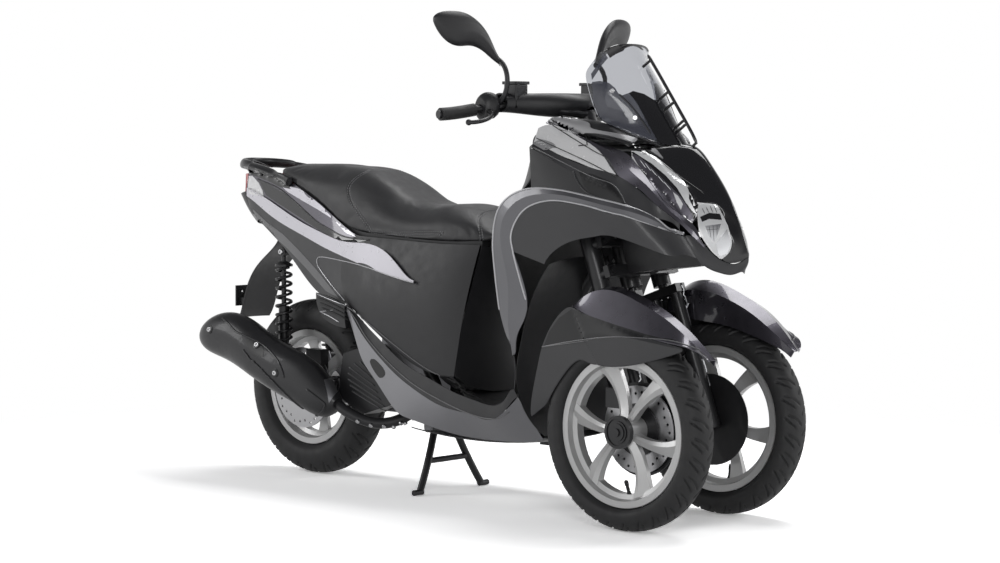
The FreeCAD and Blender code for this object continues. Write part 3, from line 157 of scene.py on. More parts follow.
def lightPathShare(tree):
    # 1 where the camera, a reflection or a clear part looks at it, 0 for the light itself
    path = addNode(tree, "LightPath")
    value = path.outputs["Is Camera Ray"]
    for name in ("Is Glossy Ray", "Is Transmission Ray"):
        value = addNode(tree, "Math", {0: value, 1: path.outputs[name]}, operation="MAXIMUM").outputs[0]
    return value, path.outputs["Is Camera Ray"]


def addWorld(s):
    world = bpy.data.worlds.new("studio")
    bpy.context.scene.world = world
    world.use_nodes = True
    tree = world.node_tree
    height = addNode(tree, "SeparateXYZ", {0: addNode(tree, "TexCoord").outputs["Generated"]})
    ramp = addNode(tree, "ValToRGB", {"Fac": height.outputs["Z"]})
    horizon, ceiling = ramp.color_ramp.elements
    horizon.position, ceiling.position = s["fade"]
    horizon.color = plainWhite
    ceiling.color = (s["zenith"], s["zenith"], s["zenith"] * s["cool"], 1)
    shown, camera = lightPathShare(tree)
    whole = addNode(tree, "Mix", {"B": plainWhite, "Factor": camera, "A": ramp.outputs["Color"]},
                    data_type="RGBA")
    strength = addNode(tree, "MapRange", {"To Min": s["world"], "To Max": 1.0, "Value": shown})
    setInputs(tree, tree.nodes["Background"], {"Color": whole.outputs["Result"],
                                               "Strength": strength.outputs[0]})


def addLamps(s):
    for index, (place, aim, width, height, watts) in enumerate(s["boxes"]):
        data = bpy.data.lights.new(f"softbox{index}", "AREA")
        data.shape = "RECTANGLE"
        data.size = width
        data.size_y = height
        data.energy = watts
        lamp = addObject(f"softbox{index}", data)
        lamp.location = place
        lamp.rotation_euler = (Vector(aim) - Vector(place)).to_track_quat("-Z", "Y").to_euler()


addWorld(lightSet)
addLamps(lightSet)

floorSet = {
    "radius": 40.0,
    "segments": 96,
    "below": 0.0002,  # how far it lies under the tyres
    "tone": 0.93,
    "shown": 2.5,  # how much whiter the camera sees the floor
    "near": 0.95,  # metres from the middle where the floor starts to turn plain white
    "far": 2.3,
    "lift": 0.20,  # how much of the floor's white doesn't depend on the light
}


def floorFinish(s):
    material, tree, shader, place = newMaterial("floorWhite")
    tree.nodes.remove(shader)
    shown, camera = lightPathShare(tree)
    tone = addNode(tree, "MapRange", {"To Min": s["tone"], "To Max": s["tone"] * s["shown"], "Value": camera})
    matt = addNode(tree, "BsdfDiffuse", {"Color": tone.outputs[0]})
    glow = addNode(tree, "Emission", {"Strength": shown})
    length = addNode(tree, "VectorMath", {0: place}, operation="LENGTH")
    fade = addNode(tree, "MapRange", {"From Min": s["near"], "From Max": s["far"], "To Min": s["lift"],
                                      "To Max": 1.0, "Value": length.outputs["Value"]},
                   interpolation_type="SMOOTHSTEP")
    share = addNode(tree, "Math", {0: fade.outputs[0], 1: shown}, operation="MULTIPLY")
    mix = addNode(tree, "MixShader", {"Fac": share.outputs[0], 1: matt.outputs[0], 2: glow.outputs[0]})
    setInputs(tree, tree.nodes["Material Output"], {"Surface": mix.outputs[0]})
    return material


def addFloor(s):
    shape = bmesh.new()
    bmesh.ops.create_circle(shape, cap_ends=True, segments=s["segments"], radius=s["radius"])
    mesh = bpy.data.meshes.new("floor")
    shape.to_mesh(mesh)
    shape.free()
    mesh.materials.append(floorFinish(s))
    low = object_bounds()[0][2]
    floor = addObject("floor", mesh)
    floor.location.z = low - s["below"]
    floor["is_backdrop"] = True


addFloor(floorSet)
bpy.context.scene.view_settings.view_transform = "Standard"
print("camera, light and floor ready")

# Materials

finishes = {
    "paintAnthracite": dict(colour=(0.085, 0.080, 0.098), metallic=0.75, rough=0.30, coat=1.0, flake=0.35),
    "paintGrey": dict(colour=(0.23, 0.23, 0.245), metallic=0.8, rough=0.34, coat=0.8, flake=0.30),
    "paintLilac": dict(colour=(0.68, 0.665, 0.72), metallic=0.35, rough=0.30, coat=1.0),
    # pale silver for the top of the dark gloss upper cowl: painted highlight
    "paintSilver": dict(colour=(0.36, 0.36, 0.37), metallic=0.25, rough=0.42, coat=0.3),
    "glossBlack": dict(colour=(0.008, 0.008, 0.010), rough=0.12, coat=0.6),
    "deepBlack": dict(colour=(0.006, 0.006, 0.007), rough=0.35),
    "plasticBlack": dict(colour=(0.018, 0.018, 0.020), rough=0.42, fine=1600, bump=0.05),
    "plasticGrey": dict(colour=(0.034, 0.034, 0.037), rough=0.42, coat=0.15, fine=1600, bump=0.05),
    # the leg strips' grey, darkened: painted shade of the strips' middle facet
    "stripMetal": dict(colour=(0.115, 0.115, 0.125), metallic=0.7, rough=0.34, coat=0.7),
    # darker bluish glass: the screen's inner layer behind it, with a painted bluish reflection
    "screenDeep": dict(colour=(0.100, 0.105, 0.135), rough=0.12, coat=0.6, alpha=0.72),
    "plasticPale": dict(colour=(0.16, 0.16, 0.165), metallic=0.3, rough=0.4, coat=0.2),
    "steelBlack": dict(colour=(0.022, 0.022, 0.024), metallic=0.3, rough=0.38, coat=0.2, fine=700, bump=0.04),
    "castGrey": dict(colour=(0.20, 0.20, 0.21), metallic=0.85, rough=0.45, fine=500, bump=0.12),
    "discSteel": dict(colour=(0.42, 0.42, 0.43), metallic=1.0, rough=0.32, fine=500, bump=0.02),
    "rimSilver": dict(colour=(0.58, 0.58, 0.58), metallic=0.5, rough=0.38, coat=0.3),
    "tyreRubber": dict(colour=(0.020, 0.020, 0.021), rough=0.60, fine=900, bump=0.08),
    "softRubber": dict(colour=(0.020, 0.020, 0.021), rough=0.58, fine=900, bump=0.08),
    "seatVinyl": dict(colour=(0.034, 0.034, 0.036), rough=0.46, fine=620, bump=0.5),
    "thread": dict(colour=(0.30, 0.30, 0.31), rough=0.7),
    # pale beads along edges; on the leg strips and the tail panels they are painted highlights
    "trimPale": dict(colour=(0.55, 0.55, 0.57), metallic=0.5, rough=0.35, coat=0.3),
    # near-white lens with little metal: a painted reflection of the bright studio in the lamps' chrome
    "lampBright": dict(colour=(0.93, 0.93, 0.95), metallic=0.15, rough=0.25, coat=1.0, fine=70, bump=0.35,
                       depth=0.004),
    "lampWhite": dict(colour=(0.86, 0.87, 0.88), metallic=0.2, rough=0.2, coat=1.0),
    "chrome": dict(colour=(0.75, 0.76, 0.78), metallic=1.0, rough=0.08),
    "mirrorGlass": dict(colour=(0.80, 0.82, 0.84), metallic=1.0, rough=0.02),
    "brightBolt": dict(colour=(0.62, 0.62, 0.63), metallic=1.0, rough=0.25),
    "redLens": dict(colour=(0.45, 0.02, 0.02), rough=0.08, coat=1.0),
}
commonFinish = dict(metallic=0.0, coat=0.0, flake=0.0, fine=900, bump=0.0, depth=0.0006, alpha=1.0)
patternSet = {
    "drift": 6.0,  # scale of the slow change of tone
    "worn": 40.0,  # scale of the change of roughness
    "flakes": 2200,
    "tone": 0.10,  # how far the tone drifts each way
    "rough": 0.12,  # how far the roughness drifts each way
    "detail": 4.0,
    "middle": (0.3, 0.7),  # the part of the noise that counts
    "coatRough": 0.04,
}


def makeFinish(name, given, pattern):
    s = {**commonFinish, **given}
    material, tree, shader, place = newMaterial(name)

    def noise(scale, detail=pattern["detail"]):
        return addNode(tree, "TexNoise", {"Scale": scale, "Detail": detail, "Vector": place}).outputs["Fac"]

    drift = noise(pattern["drift"])
    if s["flake"]:
        cell = addNode(tree, "TexVoronoi", {"Scale": pattern["flakes"], "Vector": place})
        blend = addNode(tree, "Mix", {"Factor": s["flake"], "A": drift, "B": cell.outputs["Color"]})
        drift = blend.outputs["Result"]
    dark, pale = ((*[min(c * size, 1.0) for c in s["colour"]], 1)
                  for size in (1 - pattern["tone"], 1 + pattern["tone"]))
    tone = addNode(tree, "Mix", {"A": dark, "B": pale, "Factor": drift}, data_type="RGBA")
    rough = addNode(tree, "MapRange", {"From Min": pattern["middle"][0], "From Max": pattern["middle"][1],
                                       "To Min": s["rough"] * (1 - pattern["rough"]),
                                       "To Max": s["rough"] * (1 + pattern["rough"]),
                                       "Value": noise(pattern["worn"])})
    setInputs(tree, shader, {"Base Color": tone.outputs["Result"], "Metallic": s["metallic"],
                             "Coat Weight": s["coat"], "Coat Roughness": pattern["coatRough"],
                             "Roughness": rough.outputs[0], "Alpha": s["alpha"]})
    if s["bump"]:
        grain = addNode(tree, "Bump", {"Strength": s["bump"], "Distance": s["depth"],
                                       "Height": noise(s["fine"], pattern["detail"] / 2)})
        setInputs(tree, shader, {"Normal": grain.outputs[0]})
    return material


materials = {name: makeFinish(name, s, patternSet) for name, s in finishes.items()}

screenGlass = {"colour": (0.50, 0.51, 0.54), "rough": 0.01, "haze": 0.03, "scale": 30, "bend": 1.45}


def makeGlass(name, s):
    material, tree, shader, place = newMaterial(name)
    noise = addNode(tree, "TexNoise", {"Scale": s["scale"], "Vector": place})
    rough = addNode(tree, "MapRange", {"To Min": s["rough"], "To Max": s["rough"] + s["haze"],
                                       "Value": noise.outputs["Fac"]})
    setInputs(tree, shader, {"Roughness": rough.outputs[0], "Base Color": (*s["colour"], 1),
                             "Transmission Weight": 1.0, "IOR": s["bend"]})
    return material


materials["screenSmoked"] = makeGlass("screenSmoked", screenGlass)

slotFinish = {
    "paint_anthracite": "paintAnthracite",
    "paint_lilac_silver": "paintLilac",
    "paint_grey": "paintGrey",
    "paint_black_gloss": "glossBlack",
    "plastic_black": "plasticBlack",
    "plastic_dark_grey": "plasticGrey",
    "lens_clear": "lampBright",
    "lens_red": "redLens",
    "screen_smoked": "screenSmoked",
    "rim_silver": "rimSilver",
    "tyre_black": "tyreRubber",
    "disc_steel": "discSteel",
    "metal_black": "steelBlack",
    "metal_grey": "castGrey",
    "rubber_black": "softRubber",
    "seat_cover": "seatVinyl",
}
# the leg strips' finish is their grey darkened: painted shade on their middle facet
ownFinish = {"leg_strips": "stripMetal", "swing_arm": "steelBlack"}
for part in frame["record"]["subparts"]:
    surfaces = nodes[part["node"]].data.materials
    surfaces.clear()
    surfaces.append(materials[ownFinish.get(part["node"], slotFinish[part["material_slot"]])])
print("finishes on the frame's own parts")

finishSlot = {finish: slot for slot, finish in slotFinish.items()}
finishSlot.update({
    "paintSilver": "paint_grey", "plasticPale": "paint_grey", "stripMetal": "paint_grey",
    "deepBlack": "plastic_black", "thread": "seat_cover", "trimPale": "paint_lilac_silver",
    "lampWhite": "lens_clear", "screenDeep": "screen_smoked", "chrome": "disc_steel",
    "mirrorGlass": "disc_steel", "brightBolt": "disc_steel",
})

# Drawing on the surfaces

trees = {}


def meshTree(item):
    points = [item.matrix_world @ vertex.co for vertex in item.data.vertices]
    return BVHTree.FromPolygons(points, [tuple(face.vertices) for face in item.data.polygons])


def surface(name):
    if name not in trees:
        trees[name] = meshTree(nodes[name])
    return trees[name]


viewSide, viewUp, viewLook = cameraAxes(cameraSet)
viewFrom = Vector(cameraSet["place"])
viewScale = cameraSet["lens"] / cameraSet["sensor"] * cameraSet["wide"]
viewDepth = [6.5]  # metres to the last place that was met


def viewWay(u, v):
    # the way from the camera through a point of the picture
    right = (u - cameraSet["wide"] / 2) / viewScale
    down = (v - cameraSet["high"] / 2) / viewScale
    return viewLook + viewSide * right - viewUp * down


def seen(names, u, v):
    # the point and normal where the view through a point of the picture meets the named parts
    way = viewWay(u, v).normalized()
    best = None
    for name in names:
        hit, normal, _, reach = surface(name).ray_cast(viewFrom, way)
        if hit and (best is None or reach < best[2]):
            best = (hit, normal, reach)
    if best is None:
        guess = viewFrom + way * viewDepth[0]
        for name in names:
            hit, normal, _, reach = surface(name).find_nearest(guess)
            if hit and (best is None or reach < best[2]):
                best = (hit, normal, reach)
    else:
        viewDepth[0] = best[2]
    hit, normal, _ = best
    if normal.dot(way) > 0:
        normal = -normal
    return hit, normal


def onMiddle(u, v):
    # the picture's point on the upright plane through the middle of the vehicle
    way = viewWay(u, v)
    return viewFrom - way * (viewFrom.y / way.y)


def smoothLine(points, step, closed=False):
    points = [Vector(p) for p in points]
    count = len(points)
    line = []
    for index in range(count if closed else count - 1):
        if closed:
            a, b, c, d = (points[(index + k) % count] for k in (-1, 0, 1, 2))
        else:
            a = points[max(index - 1, 0)]
            b, c = points[index], points[index + 1]
            d = points[min(index + 2, count - 1)]
        pieces = max(1, int((c - b).length / step))
        for k in range(pieces):
            t = k / pieces
            line.append(0.5 * (2 * b + (c - a) * t + (2 * a - 5 * b + 4 * c - d) * t ** 2
                               + (3 * b - a - 3 * c + d) * t ** 3))
    if not closed:
        line.append(points[-1])
    return line


def straightLine(points, step):
    # a closed outline with straight sides
    points = [Vector(p) for p in points]
    line = []
    for a, b in zip(points, points[1:] + points[:1]):
        pieces = max(1, int((b - a).length / step))
        line += [a.lerp(b, k / pieces) for k in range(pieces)]
    return line


def newShape():
    return {"verts": [], "faces": []}


def ringAround(centre, across, high, radius, sides):
    turns = [2 * math.pi * k / sides for k in range(sides)]
    return [centre + (across * math.cos(turn) + high * math.sin(turn)) * radius for turn in turns]


def addRings(shape, rings, capped=True):
    start = len(shape["verts"])
    sides = len(rings[0])
    for ring in rings:
        shape["verts"] += ring
    for row in range(len(rings) - 1):
        for k in range(sides):
            a = start + row * sides + k
            b = start + row * sides + (k + 1) % sides
            shape["faces"].append((a, b, b + sides, a + sides))
    if capped:
        shape["faces"].append(tuple(start + k for k in range(sides))[::-1])
        last = start + (len(rings) - 1) * sides
        shape["faces"].append(tuple(last + k for k in range(sides)))


def addTube(shape, line, radius, sides=8, closed=False, taper=1.0):
    line = [Vector(p) for p in line]
    count = len(line)
    rings = []
    across = None
    for index, point in enumerate(line):
        if closed:
            way = (line[(index + 1) % count] - line[index - 1]).normalized()
        else:
            way = (line[min(index + 1, count - 1)] - line[max(index - 1, 0)]).normalized()
        if across is None:
            across = way.orthogonal().normalized()
        across = (across - way * across.dot(way)).normalized()
        size = radius * (taper if index in (0, count - 1) and not closed else 1.0)
        rings.append(ringAround(point, across, way.cross(across), size, sides))
    if closed:
        rings.append([v.copy() for v in rings[0]])
    addRings(shape, rings, capped=not closed)


def addLathe(shape, origin, axis, profile, sides=24):
    # profile is (radius, along) in metres, from the low end to the high end
    axis = Vector(axis).normalized()
    across = axis.orthogonal().normalized()
    high = axis.cross(across)
    origin = Vector(origin)
    thinnest = 0.00005
    addRings(shape, [ringAround(origin + axis * along, across, high, max(radius, thinnest), sides)
                     for radius, along in profile])


def addBolt(shape, place, normal, radius, high):
    addLathe(shape, place, normal, [(radius, -0.001), (radius, high * 0.6), (radius * 0.82, high),
                                    (radius * 0.5, high), (radius * 0.42, high * 0.3)], 18)


def addLine(shape, names, points, radius, lift=0.2, step=2.0):
    # a round bead that follows the picture's line over the named parts
    places = []
    for u, v in smoothLine(points, step):
        hit, normal = seen(names, u, v)
        places.append(hit + normal * radius * lift)
    addTube(shape, places, radius, taper=0.4)


def insideOutline(edge, u, v):
    inside = False
    for k in range(len(edge)):
        a, b = edge[k - 1], edge[k]
        if (a[1] > v) != (b[1] > v) and u < (b[0] - a[0]) * (v - a[1]) / (b[1] - a[1]) + a[0]:
            inside = not inside
    return inside


def addPatch(shape, names, outline, lift=0.0006, smooth=False, grid=2.0, sink=0.0008):
    # a thin plate that lies on the named parts inside a closed line of the picture
    edge = smoothLine(outline, grid, closed=True) if smooth else straightLine(outline, grid)
    points = [Vector((p.x, p.y)) for p in edge]
    low = [min(p[k] for p in points) for k in (0, 1)]
    high = [max(p[k] for p in points) for k in (0, 1)]
    rim = len(points)
    clear = grid * 0.55  # how far the inner points keep from the edge
    u = low[0]
    while u < high[0]:
        v = low[1]
        while v < high[1]:
            spot = Vector((u, v))
            if insideOutline(points[:rim], u, v) and min((spot - p).length for p in points[:rim]) > clear:
                points.append(spot)
            v += grid
        u += grid
    flat, _, faces, _, _, _ = delaunay_2d_cdt(points, [], [list(range(rim))], 1, 1e-5)
    start = len(shape["verts"])
    hits = [seen(names, p.x, p.y) for p in flat]
    shape["verts"] += [hit + normal * lift for hit, normal in hits]
    base = len(shape["verts"])
    shape["verts"] += [hit - normal * sink for hit, normal in hits]
    edges = {}
    for face in faces:
        face = [start + k for k in face]
        a, b, c = (shape["verts"][k] for k in face[:3])
        if (b - a).cross(c - a).dot(viewFrom - a) < 0:
            face = face[::-1]
        shape["faces"].append(tuple(face))
        shape["faces"].append(tuple(k - start + base for k in face[::-1]))
        for k in range(len(face)):
            pair = (face[k - 1], face[k])
            if pair[::-1] in edges:
                del edges[pair[::-1]]
            else:
                edges[pair] = True
    for a, b in edges:
        shape["faces"].append((b, a, a - start + base, b - start + base))


def flipped(line):
    return [Vector((p.x, -p.y, p.z)) for p in line]


def turnedFaces(faces, shift=0):
    return [tuple(k + shift for k in face[::-1]) for face in faces]


def finishPiece(name, shape, finish, body, both=False, sharp=35.0):
    if both:
        count = len(shape["verts"])
        shape["verts"] += flipped(shape["verts"])
        shape["faces"] += turnedFaces(shape["faces"], count)
    mesh = bpy.data.meshes.new(name)
    mesh.from_pydata([tuple(v) for v in shape["verts"]], [], shape["faces"])
    mesh.validate()
    mesh.update()
    mesh.shade_smooth()
    mesh.set_sharp_from_angle(angle=math.radians(sharp))
    mesh.materials.append(materials[finish])
    piece = addObject(name, mesh)
    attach(piece, body)
    return piece


# Marks, which the pieces of trim are made of


def plate(outline, lift=0.0006, **settings):
    return lambda shape, skin: addPatch(shape, skin, outline, lift=lift, **settings)


def bead(line, radius, lift):
    return lambda shape, skin: addLine(shape, skin, line, radius, lift=lift)


def boltsAt(spots, radius, high):
    def draw(shape, skin):
        for spot in spots:
            hit, normal = seen(skin, *spot)
            addBolt(shape, hit, normal, radius, high)
    return draw


def addTrims(pieces, both=True):
    # each piece has a name, a finish, the parts that it lies on, and marks
    for name, finish, skin, marks in pieces:
        shape = newShape()
        for mark in marks:
            mark(shape, skin)
        finishPiece(name, shape, finish, "chassis", both=both)


def addForkTrims(pieces, sides):
    # the same piece for each fork, the second one mirrored
    for name, finish, skin, marks in pieces:
        for side, mirrored in zip(sides, (False, True)):
            shape = newShape()
            for mark in marks:
                mark(shape, skin)
            if mirrored:
                shape = {"verts": flipped(shape["verts"]), "faces": turnedFaces(shape["faces"])}
            finishPiece(f"{name}_fork_{side}", shape, finish, f"fork_{side}")


# Tyres with their tread

tyres = {
    "front": dict(half=45.0, outer=250.0, seat=178.0, rimHalf=31.0, around=720, pitches=30,
                  deep=3.4, wide=2.3, reach=50.0, lean=1.15),
    "rear": dict(half=55.0, outer=251.0, seat=153.0, rimHalf=40.0, around=720, pitches=27,
                 deep=3.8, wide=2.7, reach=60.0, lean=1.05),
}
treadRows = [  # grooves start at a place in millimetres and a share of the reach, and end at a share of it
    dict(turn=0.0, first=3.5, share=0.0, last=0.80, bow=0.010, width=1.15),
    dict(turn=0.5, first=0.0, share=0.42, last=1.0, bow=0.004, width=1.0),
]
grooveSet = {"ends": 3, "slope": 0.9, "wall": 18, "step": 2.2}  # millimetres


def tyreSection(s):
    depth = s["outer"] - s["seat"]
    crown = [(-s["rimHalf"] + 6.0, s["seat"] + 12.2), (-s["half"] * 0.93, s["seat"] + depth * 0.3),
             (-s["half"], s["seat"] + depth * 0.5), (-s["half"] * 0.86, s["seat"] + depth * 0.76),
             (-s["half"] * 0.5, s["outer"] - depth * 0.055), (0.0, s["outer"])]
    crown += [(-a, r) for a, r in crown[-2::-1]]
    line = smoothLine(crown, grooveSet["step"])
    inside = [(s["rimHalf"] - 13, s["seat"] + 14), (s["half"] * 0.78, s["seat"] + depth * 0.5),
              (s["half"] * 0.5, s["outer"] - grooveSet["wall"])]
    return [(p.x, p.y) for p in line], inside + [(-a, r) for a, r in inside[::-1]]


def clamped(value):
    return min(1.0, max(0.0, value))


def treadDepth(s, across, around):
    # how far the tread is cut in, in millimetres, at a place across and around the crown
    side = abs(across)
    pitch = 2 * math.pi * s["outer"] / s["pitches"]
    phase = 0.0 if across > 0 else 0.5
    ends, edge = grooveSet["ends"], grooveSet["slope"]
    cut = 0.0
    for row in treadRows:
        low = row["first"] + s["reach"] * row["share"]
        high = s["reach"] * row["last"]
        if side < low - ends or side > high + ends:
            continue
        middle = s["lean"] * side - row["bow"] * side * side
        place = (around / pitch - middle / pitch + row["turn"] + phase) % 1.0
        slope = s["lean"] - 2 * row["bow"] * side
        gap = min(place, 1.0 - place) * pitch / math.sqrt(1 + slope * slope)
        fade = clamped((side - low + ends) / ends) * clamped((high + ends - side) / ends)
        share = clamped((s["wide"] * row["width"] + edge - gap) / (2 * edge))
        cut = max(cut, share * share * (3 - 2 * share) * fade)
    return cut * s["deep"]


def makeTyre(name, s, centre, side, body, replaced):
    line, inside = tyreSection(s)
    count = s["around"]
    angles = [2 * math.pi * k / count for k in range(count)]
    travel = [0.0]
    for a, b in zip(line, line[1:]):
        travel.append(travel[-1] + math.dist(a, b))

    def place(across, radius, angle):
        r = radius * 0.001
        return (centre[0] - math.sin(angle) * r, centre[1] + side * across * 0.001,
                centre[2] + math.cos(angle) * r)

    verts = []
    for index, (across, radius) in enumerate(line):
        before = line[max(index - 1, 0)]
        after = line[min(index + 1, len(line) - 1)]
        way = (after[0] - before[0], after[1] - before[1])
        size = math.hypot(*way)
        normal = (-way[1] / size, way[0] / size)
        onCrown = travel[index] - travel[-1] / 2
        treaded = abs(onCrown) < s["reach"] + 4
        for angle in angles:
            cut = treadDepth(s, onCrown, angle * s["outer"]) if treaded else 0.0
            verts.append(place(across - normal[0] * cut, radius - normal[1] * cut, angle))
    for across, radius in inside:
        verts += [place(across, radius, angle) for angle in angles]
    faces = []
    rows = len(line) + len(inside)
    for row in range(rows):
        nextRow = (row + 1) % rows
        for k in range(count):
            a, b = row * count + k, row * count + (k + 1) % count
            c, d = nextRow * count + (k + 1) % count, nextRow * count + k
            faces.append((a, b, c, d) if side < 0 else (d, c, b, a))
    piece = finishPiece(name, {"verts": verts, "faces": faces}, "tyreRubber", body, sharp=50.0)
    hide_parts(replaced)


leftHub = Vector((frontAxle.x, wheelY, frontAxle.z))
rightHub = Vector((frontAxle.x, -wheelY, frontAxle.z))
makeTyre("tyreFrontLeft", tyres["front"], leftHub, 1, "wheel_front_left", "front_tyre_left")
makeTyre("tyreFrontRight", tyres["front"], rightHub, -1, "wheel_front_right", "front_tyre_right")
makeTyre("tyreRear", tyres["rear"], rearAxle, 1, "wheel_rear", "rear_tyre")
print("tyres with tread")

# Rim edges, valves, disc carriers and disc bolts

carriers = [  # name, hub, place across the wheel, body
    ("left", leftHub, -0.0380 * 0.93, "wheel_front_left"),
    ("right", rightHub, 0.0380 * 0.93, "wheel_front_right"),
]
carrierSet = {"bore": 0.030, "radius": 0.066, "half": 0.0030, "boss": 0.0032}
wheels = {
    "frontLeft": dict(centre=leftHub, side=1, seat=0.178, rimHalf=0.031, disc=-0.0380,
                      body="wheel_front_left", valve=172),
    "frontRight": dict(centre=rightHub, side=-1, seat=0.178, rimHalf=0.031, disc=0.0380,
                       body="wheel_front_right", valve=178),
    "rear": dict(centre=rearAxle, side=1, seat=0.153, rimHalf=0.040, disc=-0.0623,
                 body="wheel_rear", valve=100),
}
fittingSet = {
    "valve": [(0.0058, 0), (0.0052, 0.006), (0.0042, 0.008), (0.0042, 0.024), (0.0052, 0.025), (0.0052, 0.036),
              (0.0036, 0.038)],
    "bolts": 5,
    "boltCircle": 0.048,
    "boltTurn": 10,  # degrees
    "bolt": (0.0052, 0.003),
    "edgeSteps": 120,
    "edge": 0.0014,
}


def around(centre, angle, radius, across):
    # a place on a wheel, the angle from the top towards the front
    turn = math.radians(angle)
    return Vector((centre.x + math.sin(turn) * radius, centre.y + across, centre.z + math.cos(turn) * radius))


def addCarrier(name, centre, across, body, s):
    # the dark centre that carries a disc
    shape = newShape()
    y = Vector((0, 1, 0))
    addLathe(shape, centre + y * across, y, [(s["bore"], -s["boss"]), (s["radius"], -s["half"]),
                                             (s["radius"], s["half"]), (s["bore"], s["boss"])], 40)
    finishPiece(f"discCarrier_{name}", shape, "steelBlack", body)


def dressWheel(name, wheel, s):
    centre, side, seat, body = (wheel[key] for key in ("centre", "side", "seat", "body"))
    y = Vector((0, side, 0))
    valve = newShape()
    inward = (around(centre, wheel["valve"], 0.0, 0) - around(centre, wheel["valve"], 1.0, 0)).normalized()
    foot = around(centre, wheel["valve"], seat - 0.020, side * 0.002)
    addLathe(valve, foot, (inward + y * 0.35).normalized(), s["valve"], 14)
    finishPiece(f"valve_{name}", valve, "softRubber", body)
    bolts = newShape()
    outward = y if wheel["disc"] * side > 0 else -y
    for k in range(s["bolts"]):
        place = around(centre, 360 / s["bolts"] * k + s["boltTurn"], s["boltCircle"], wheel["disc"])
        for way in (outward, -outward):
            addBolt(bolts, place, way, *s["bolt"])
    finishPiece(f"discBolts_{name}", bolts, "brightBolt", body)
    ring = newShape()
    for sign in (-1, 1):
        across = side * sign * (wheel["rimHalf"] - 0.0022)
        line = [around(centre, 360 * k / s["edgeSteps"], seat + 0.0108, across) for k in range(s["edgeSteps"])]
        addTube(ring, line, s["edge"], sides=6, closed=True)
    finishPiece(f"rimEdge_{name}", ring, "rimSilver", body)


for carrier in carriers:
    addCarrier(*carrier, carrierSet)
for name, wheel in wheels.items():
    dressWheel(name, wheel, fittingSet)
print("wheel fittings")

# Lamps at the front, drawn on the picture's own points

drlSet = {
    "housing": [(629, 150), (645, 152), (658, 158), (673, 168), (688, 180), (698, 200), (699, 219),
                (695, 222), (684, 209), (668, 189), (650, 169), (636, 157)],
    "blade": [(632, 151), (645, 152), (657, 158), (672, 170), (684, 182), (689, 192), (689, 199),
              (697, 215), (692, 211), (686, 203), (677, 188), (666, 176), (652, 164), (638, 155)],
    "marks": [[(640, 160), (646, 168)], [(645, 163), (651, 171)], [(651, 169), (657, 176)],
              [(658, 176), (664, 183)], [(664, 182), (671, 190)]],
    "shade": [(631, 153), (638, 165), (646, 176), (655, 189), (663, 200), (672, 208), (681, 215), (694, 223),
              (692, 214), (681, 197), (668, 184), (652, 168), (639, 156)],
    "tooth": [(673, 192), (678, 196), (683, 204), (681, 210), (677, 203)],
}
lampSet = {
    "face": [(698, 206), (703, 204), (717, 205), (722, 214), (728, 226), (732, 243), (729, 253),
             (722, 258), (714, 252), (705, 240), (700, 228), (698, 214)],
    "ribs": [[(702, 208), (705, 214)], [(706, 207), (709, 213)], [(710, 206), (713, 213)],
             [(714, 206), (717, 213)]],
    "dark": [(700, 217), (709, 213), (720, 214), (722, 220), (709, 219), (702, 222)],
    "grid": [(705, 226), (721, 224), (718, 234), (714, 243), (709, 236)],
    "gridLines": [[(709, 226), (711, 238)], [(713, 225), (714, 241)], [(717, 225), (717, 236)],
                  [(706, 230), (719, 229)]],
    "facet": [(716, 244), (727, 229), (731, 244), (727, 254), (719, 256)],
}
lampSkin = ["headlamps", "nose_cowl", "cheek_panels"]
addTrims([
    ("drlHousing", "glossBlack", lampSkin, [plate(drlSet["housing"], 0.0005)]),
    ("drlShade", "paintAnthracite", lampSkin, [plate(drlSet["shade"], 0.0009)]),
    ("drlBlade", "lampWhite", lampSkin, [plate(drlSet["blade"], 0.0016), plate(drlSet["tooth"], 0.0012)]),
    ("drlMarks", "chrome", lampSkin, [bead(mark, 0.0012, 0.9) for mark in drlSet["marks"]]),
    ("lampFace", "lampWhite", lampSkin, [plate(lampSet["face"], 0.0005)]),
    ("lampDark", "glossBlack", lampSkin, [plate(lampSet["dark"], 0.0011)]
     + [bead(rib, 0.0008, 1.2) for rib in lampSet["ribs"]]
     + [bead(line, 0.0006, 1.6) for line in lampSet["gridLines"]]),
    ("lampFacets", "chrome", lampSkin, [plate(lampSet["grid"], 0.0009), plate(lampSet["facet"], 0.0010)]),
])
print("lamps")

# Trim on the front panels, and a painted highlight on the upper cowl

frontSet = {
    # the pale band on top of the upper cowl is a painted highlight
    "strip": [(548, 121), (563, 118), (588, 123), (593, 129), (620, 135), (643, 141), (653, 147), (663, 159),
              (653, 153), (643, 147), (620, 139), (599, 134), (574, 132), (560, 126)],
    "upperSeam": [(573, 132), (599, 136), (620, 141), (643, 149), (653, 155), (668, 168), (686, 181),
                  (699, 190), (704, 194)],
    "seams": [[(548, 122), (563, 132), (592, 150), (606, 158), (614, 170), (617, 177)],
              [(536, 138), (560, 149), (588, 162), (605, 171), (617, 178)]],
    "vent": [(579, 172), (592, 174), (609, 181), (618, 192), (625, 205), (609, 201), (591, 194), (584, 186)],
    "ventEdge": [(573, 171), (579, 184), (588, 193), (598, 197)],
    "cowlLine": [(530, 146), (560, 161), (590, 176), (612, 184), (622, 196), (626, 206)],
}
frontSkin = ["dash_cover", "cheek_panels", "nose_cowl", "front_indicators", "fairing_bands", "headlamps"]
cowlSkin = ["inner_cowls", "fairing_bands", "leg_strips"]
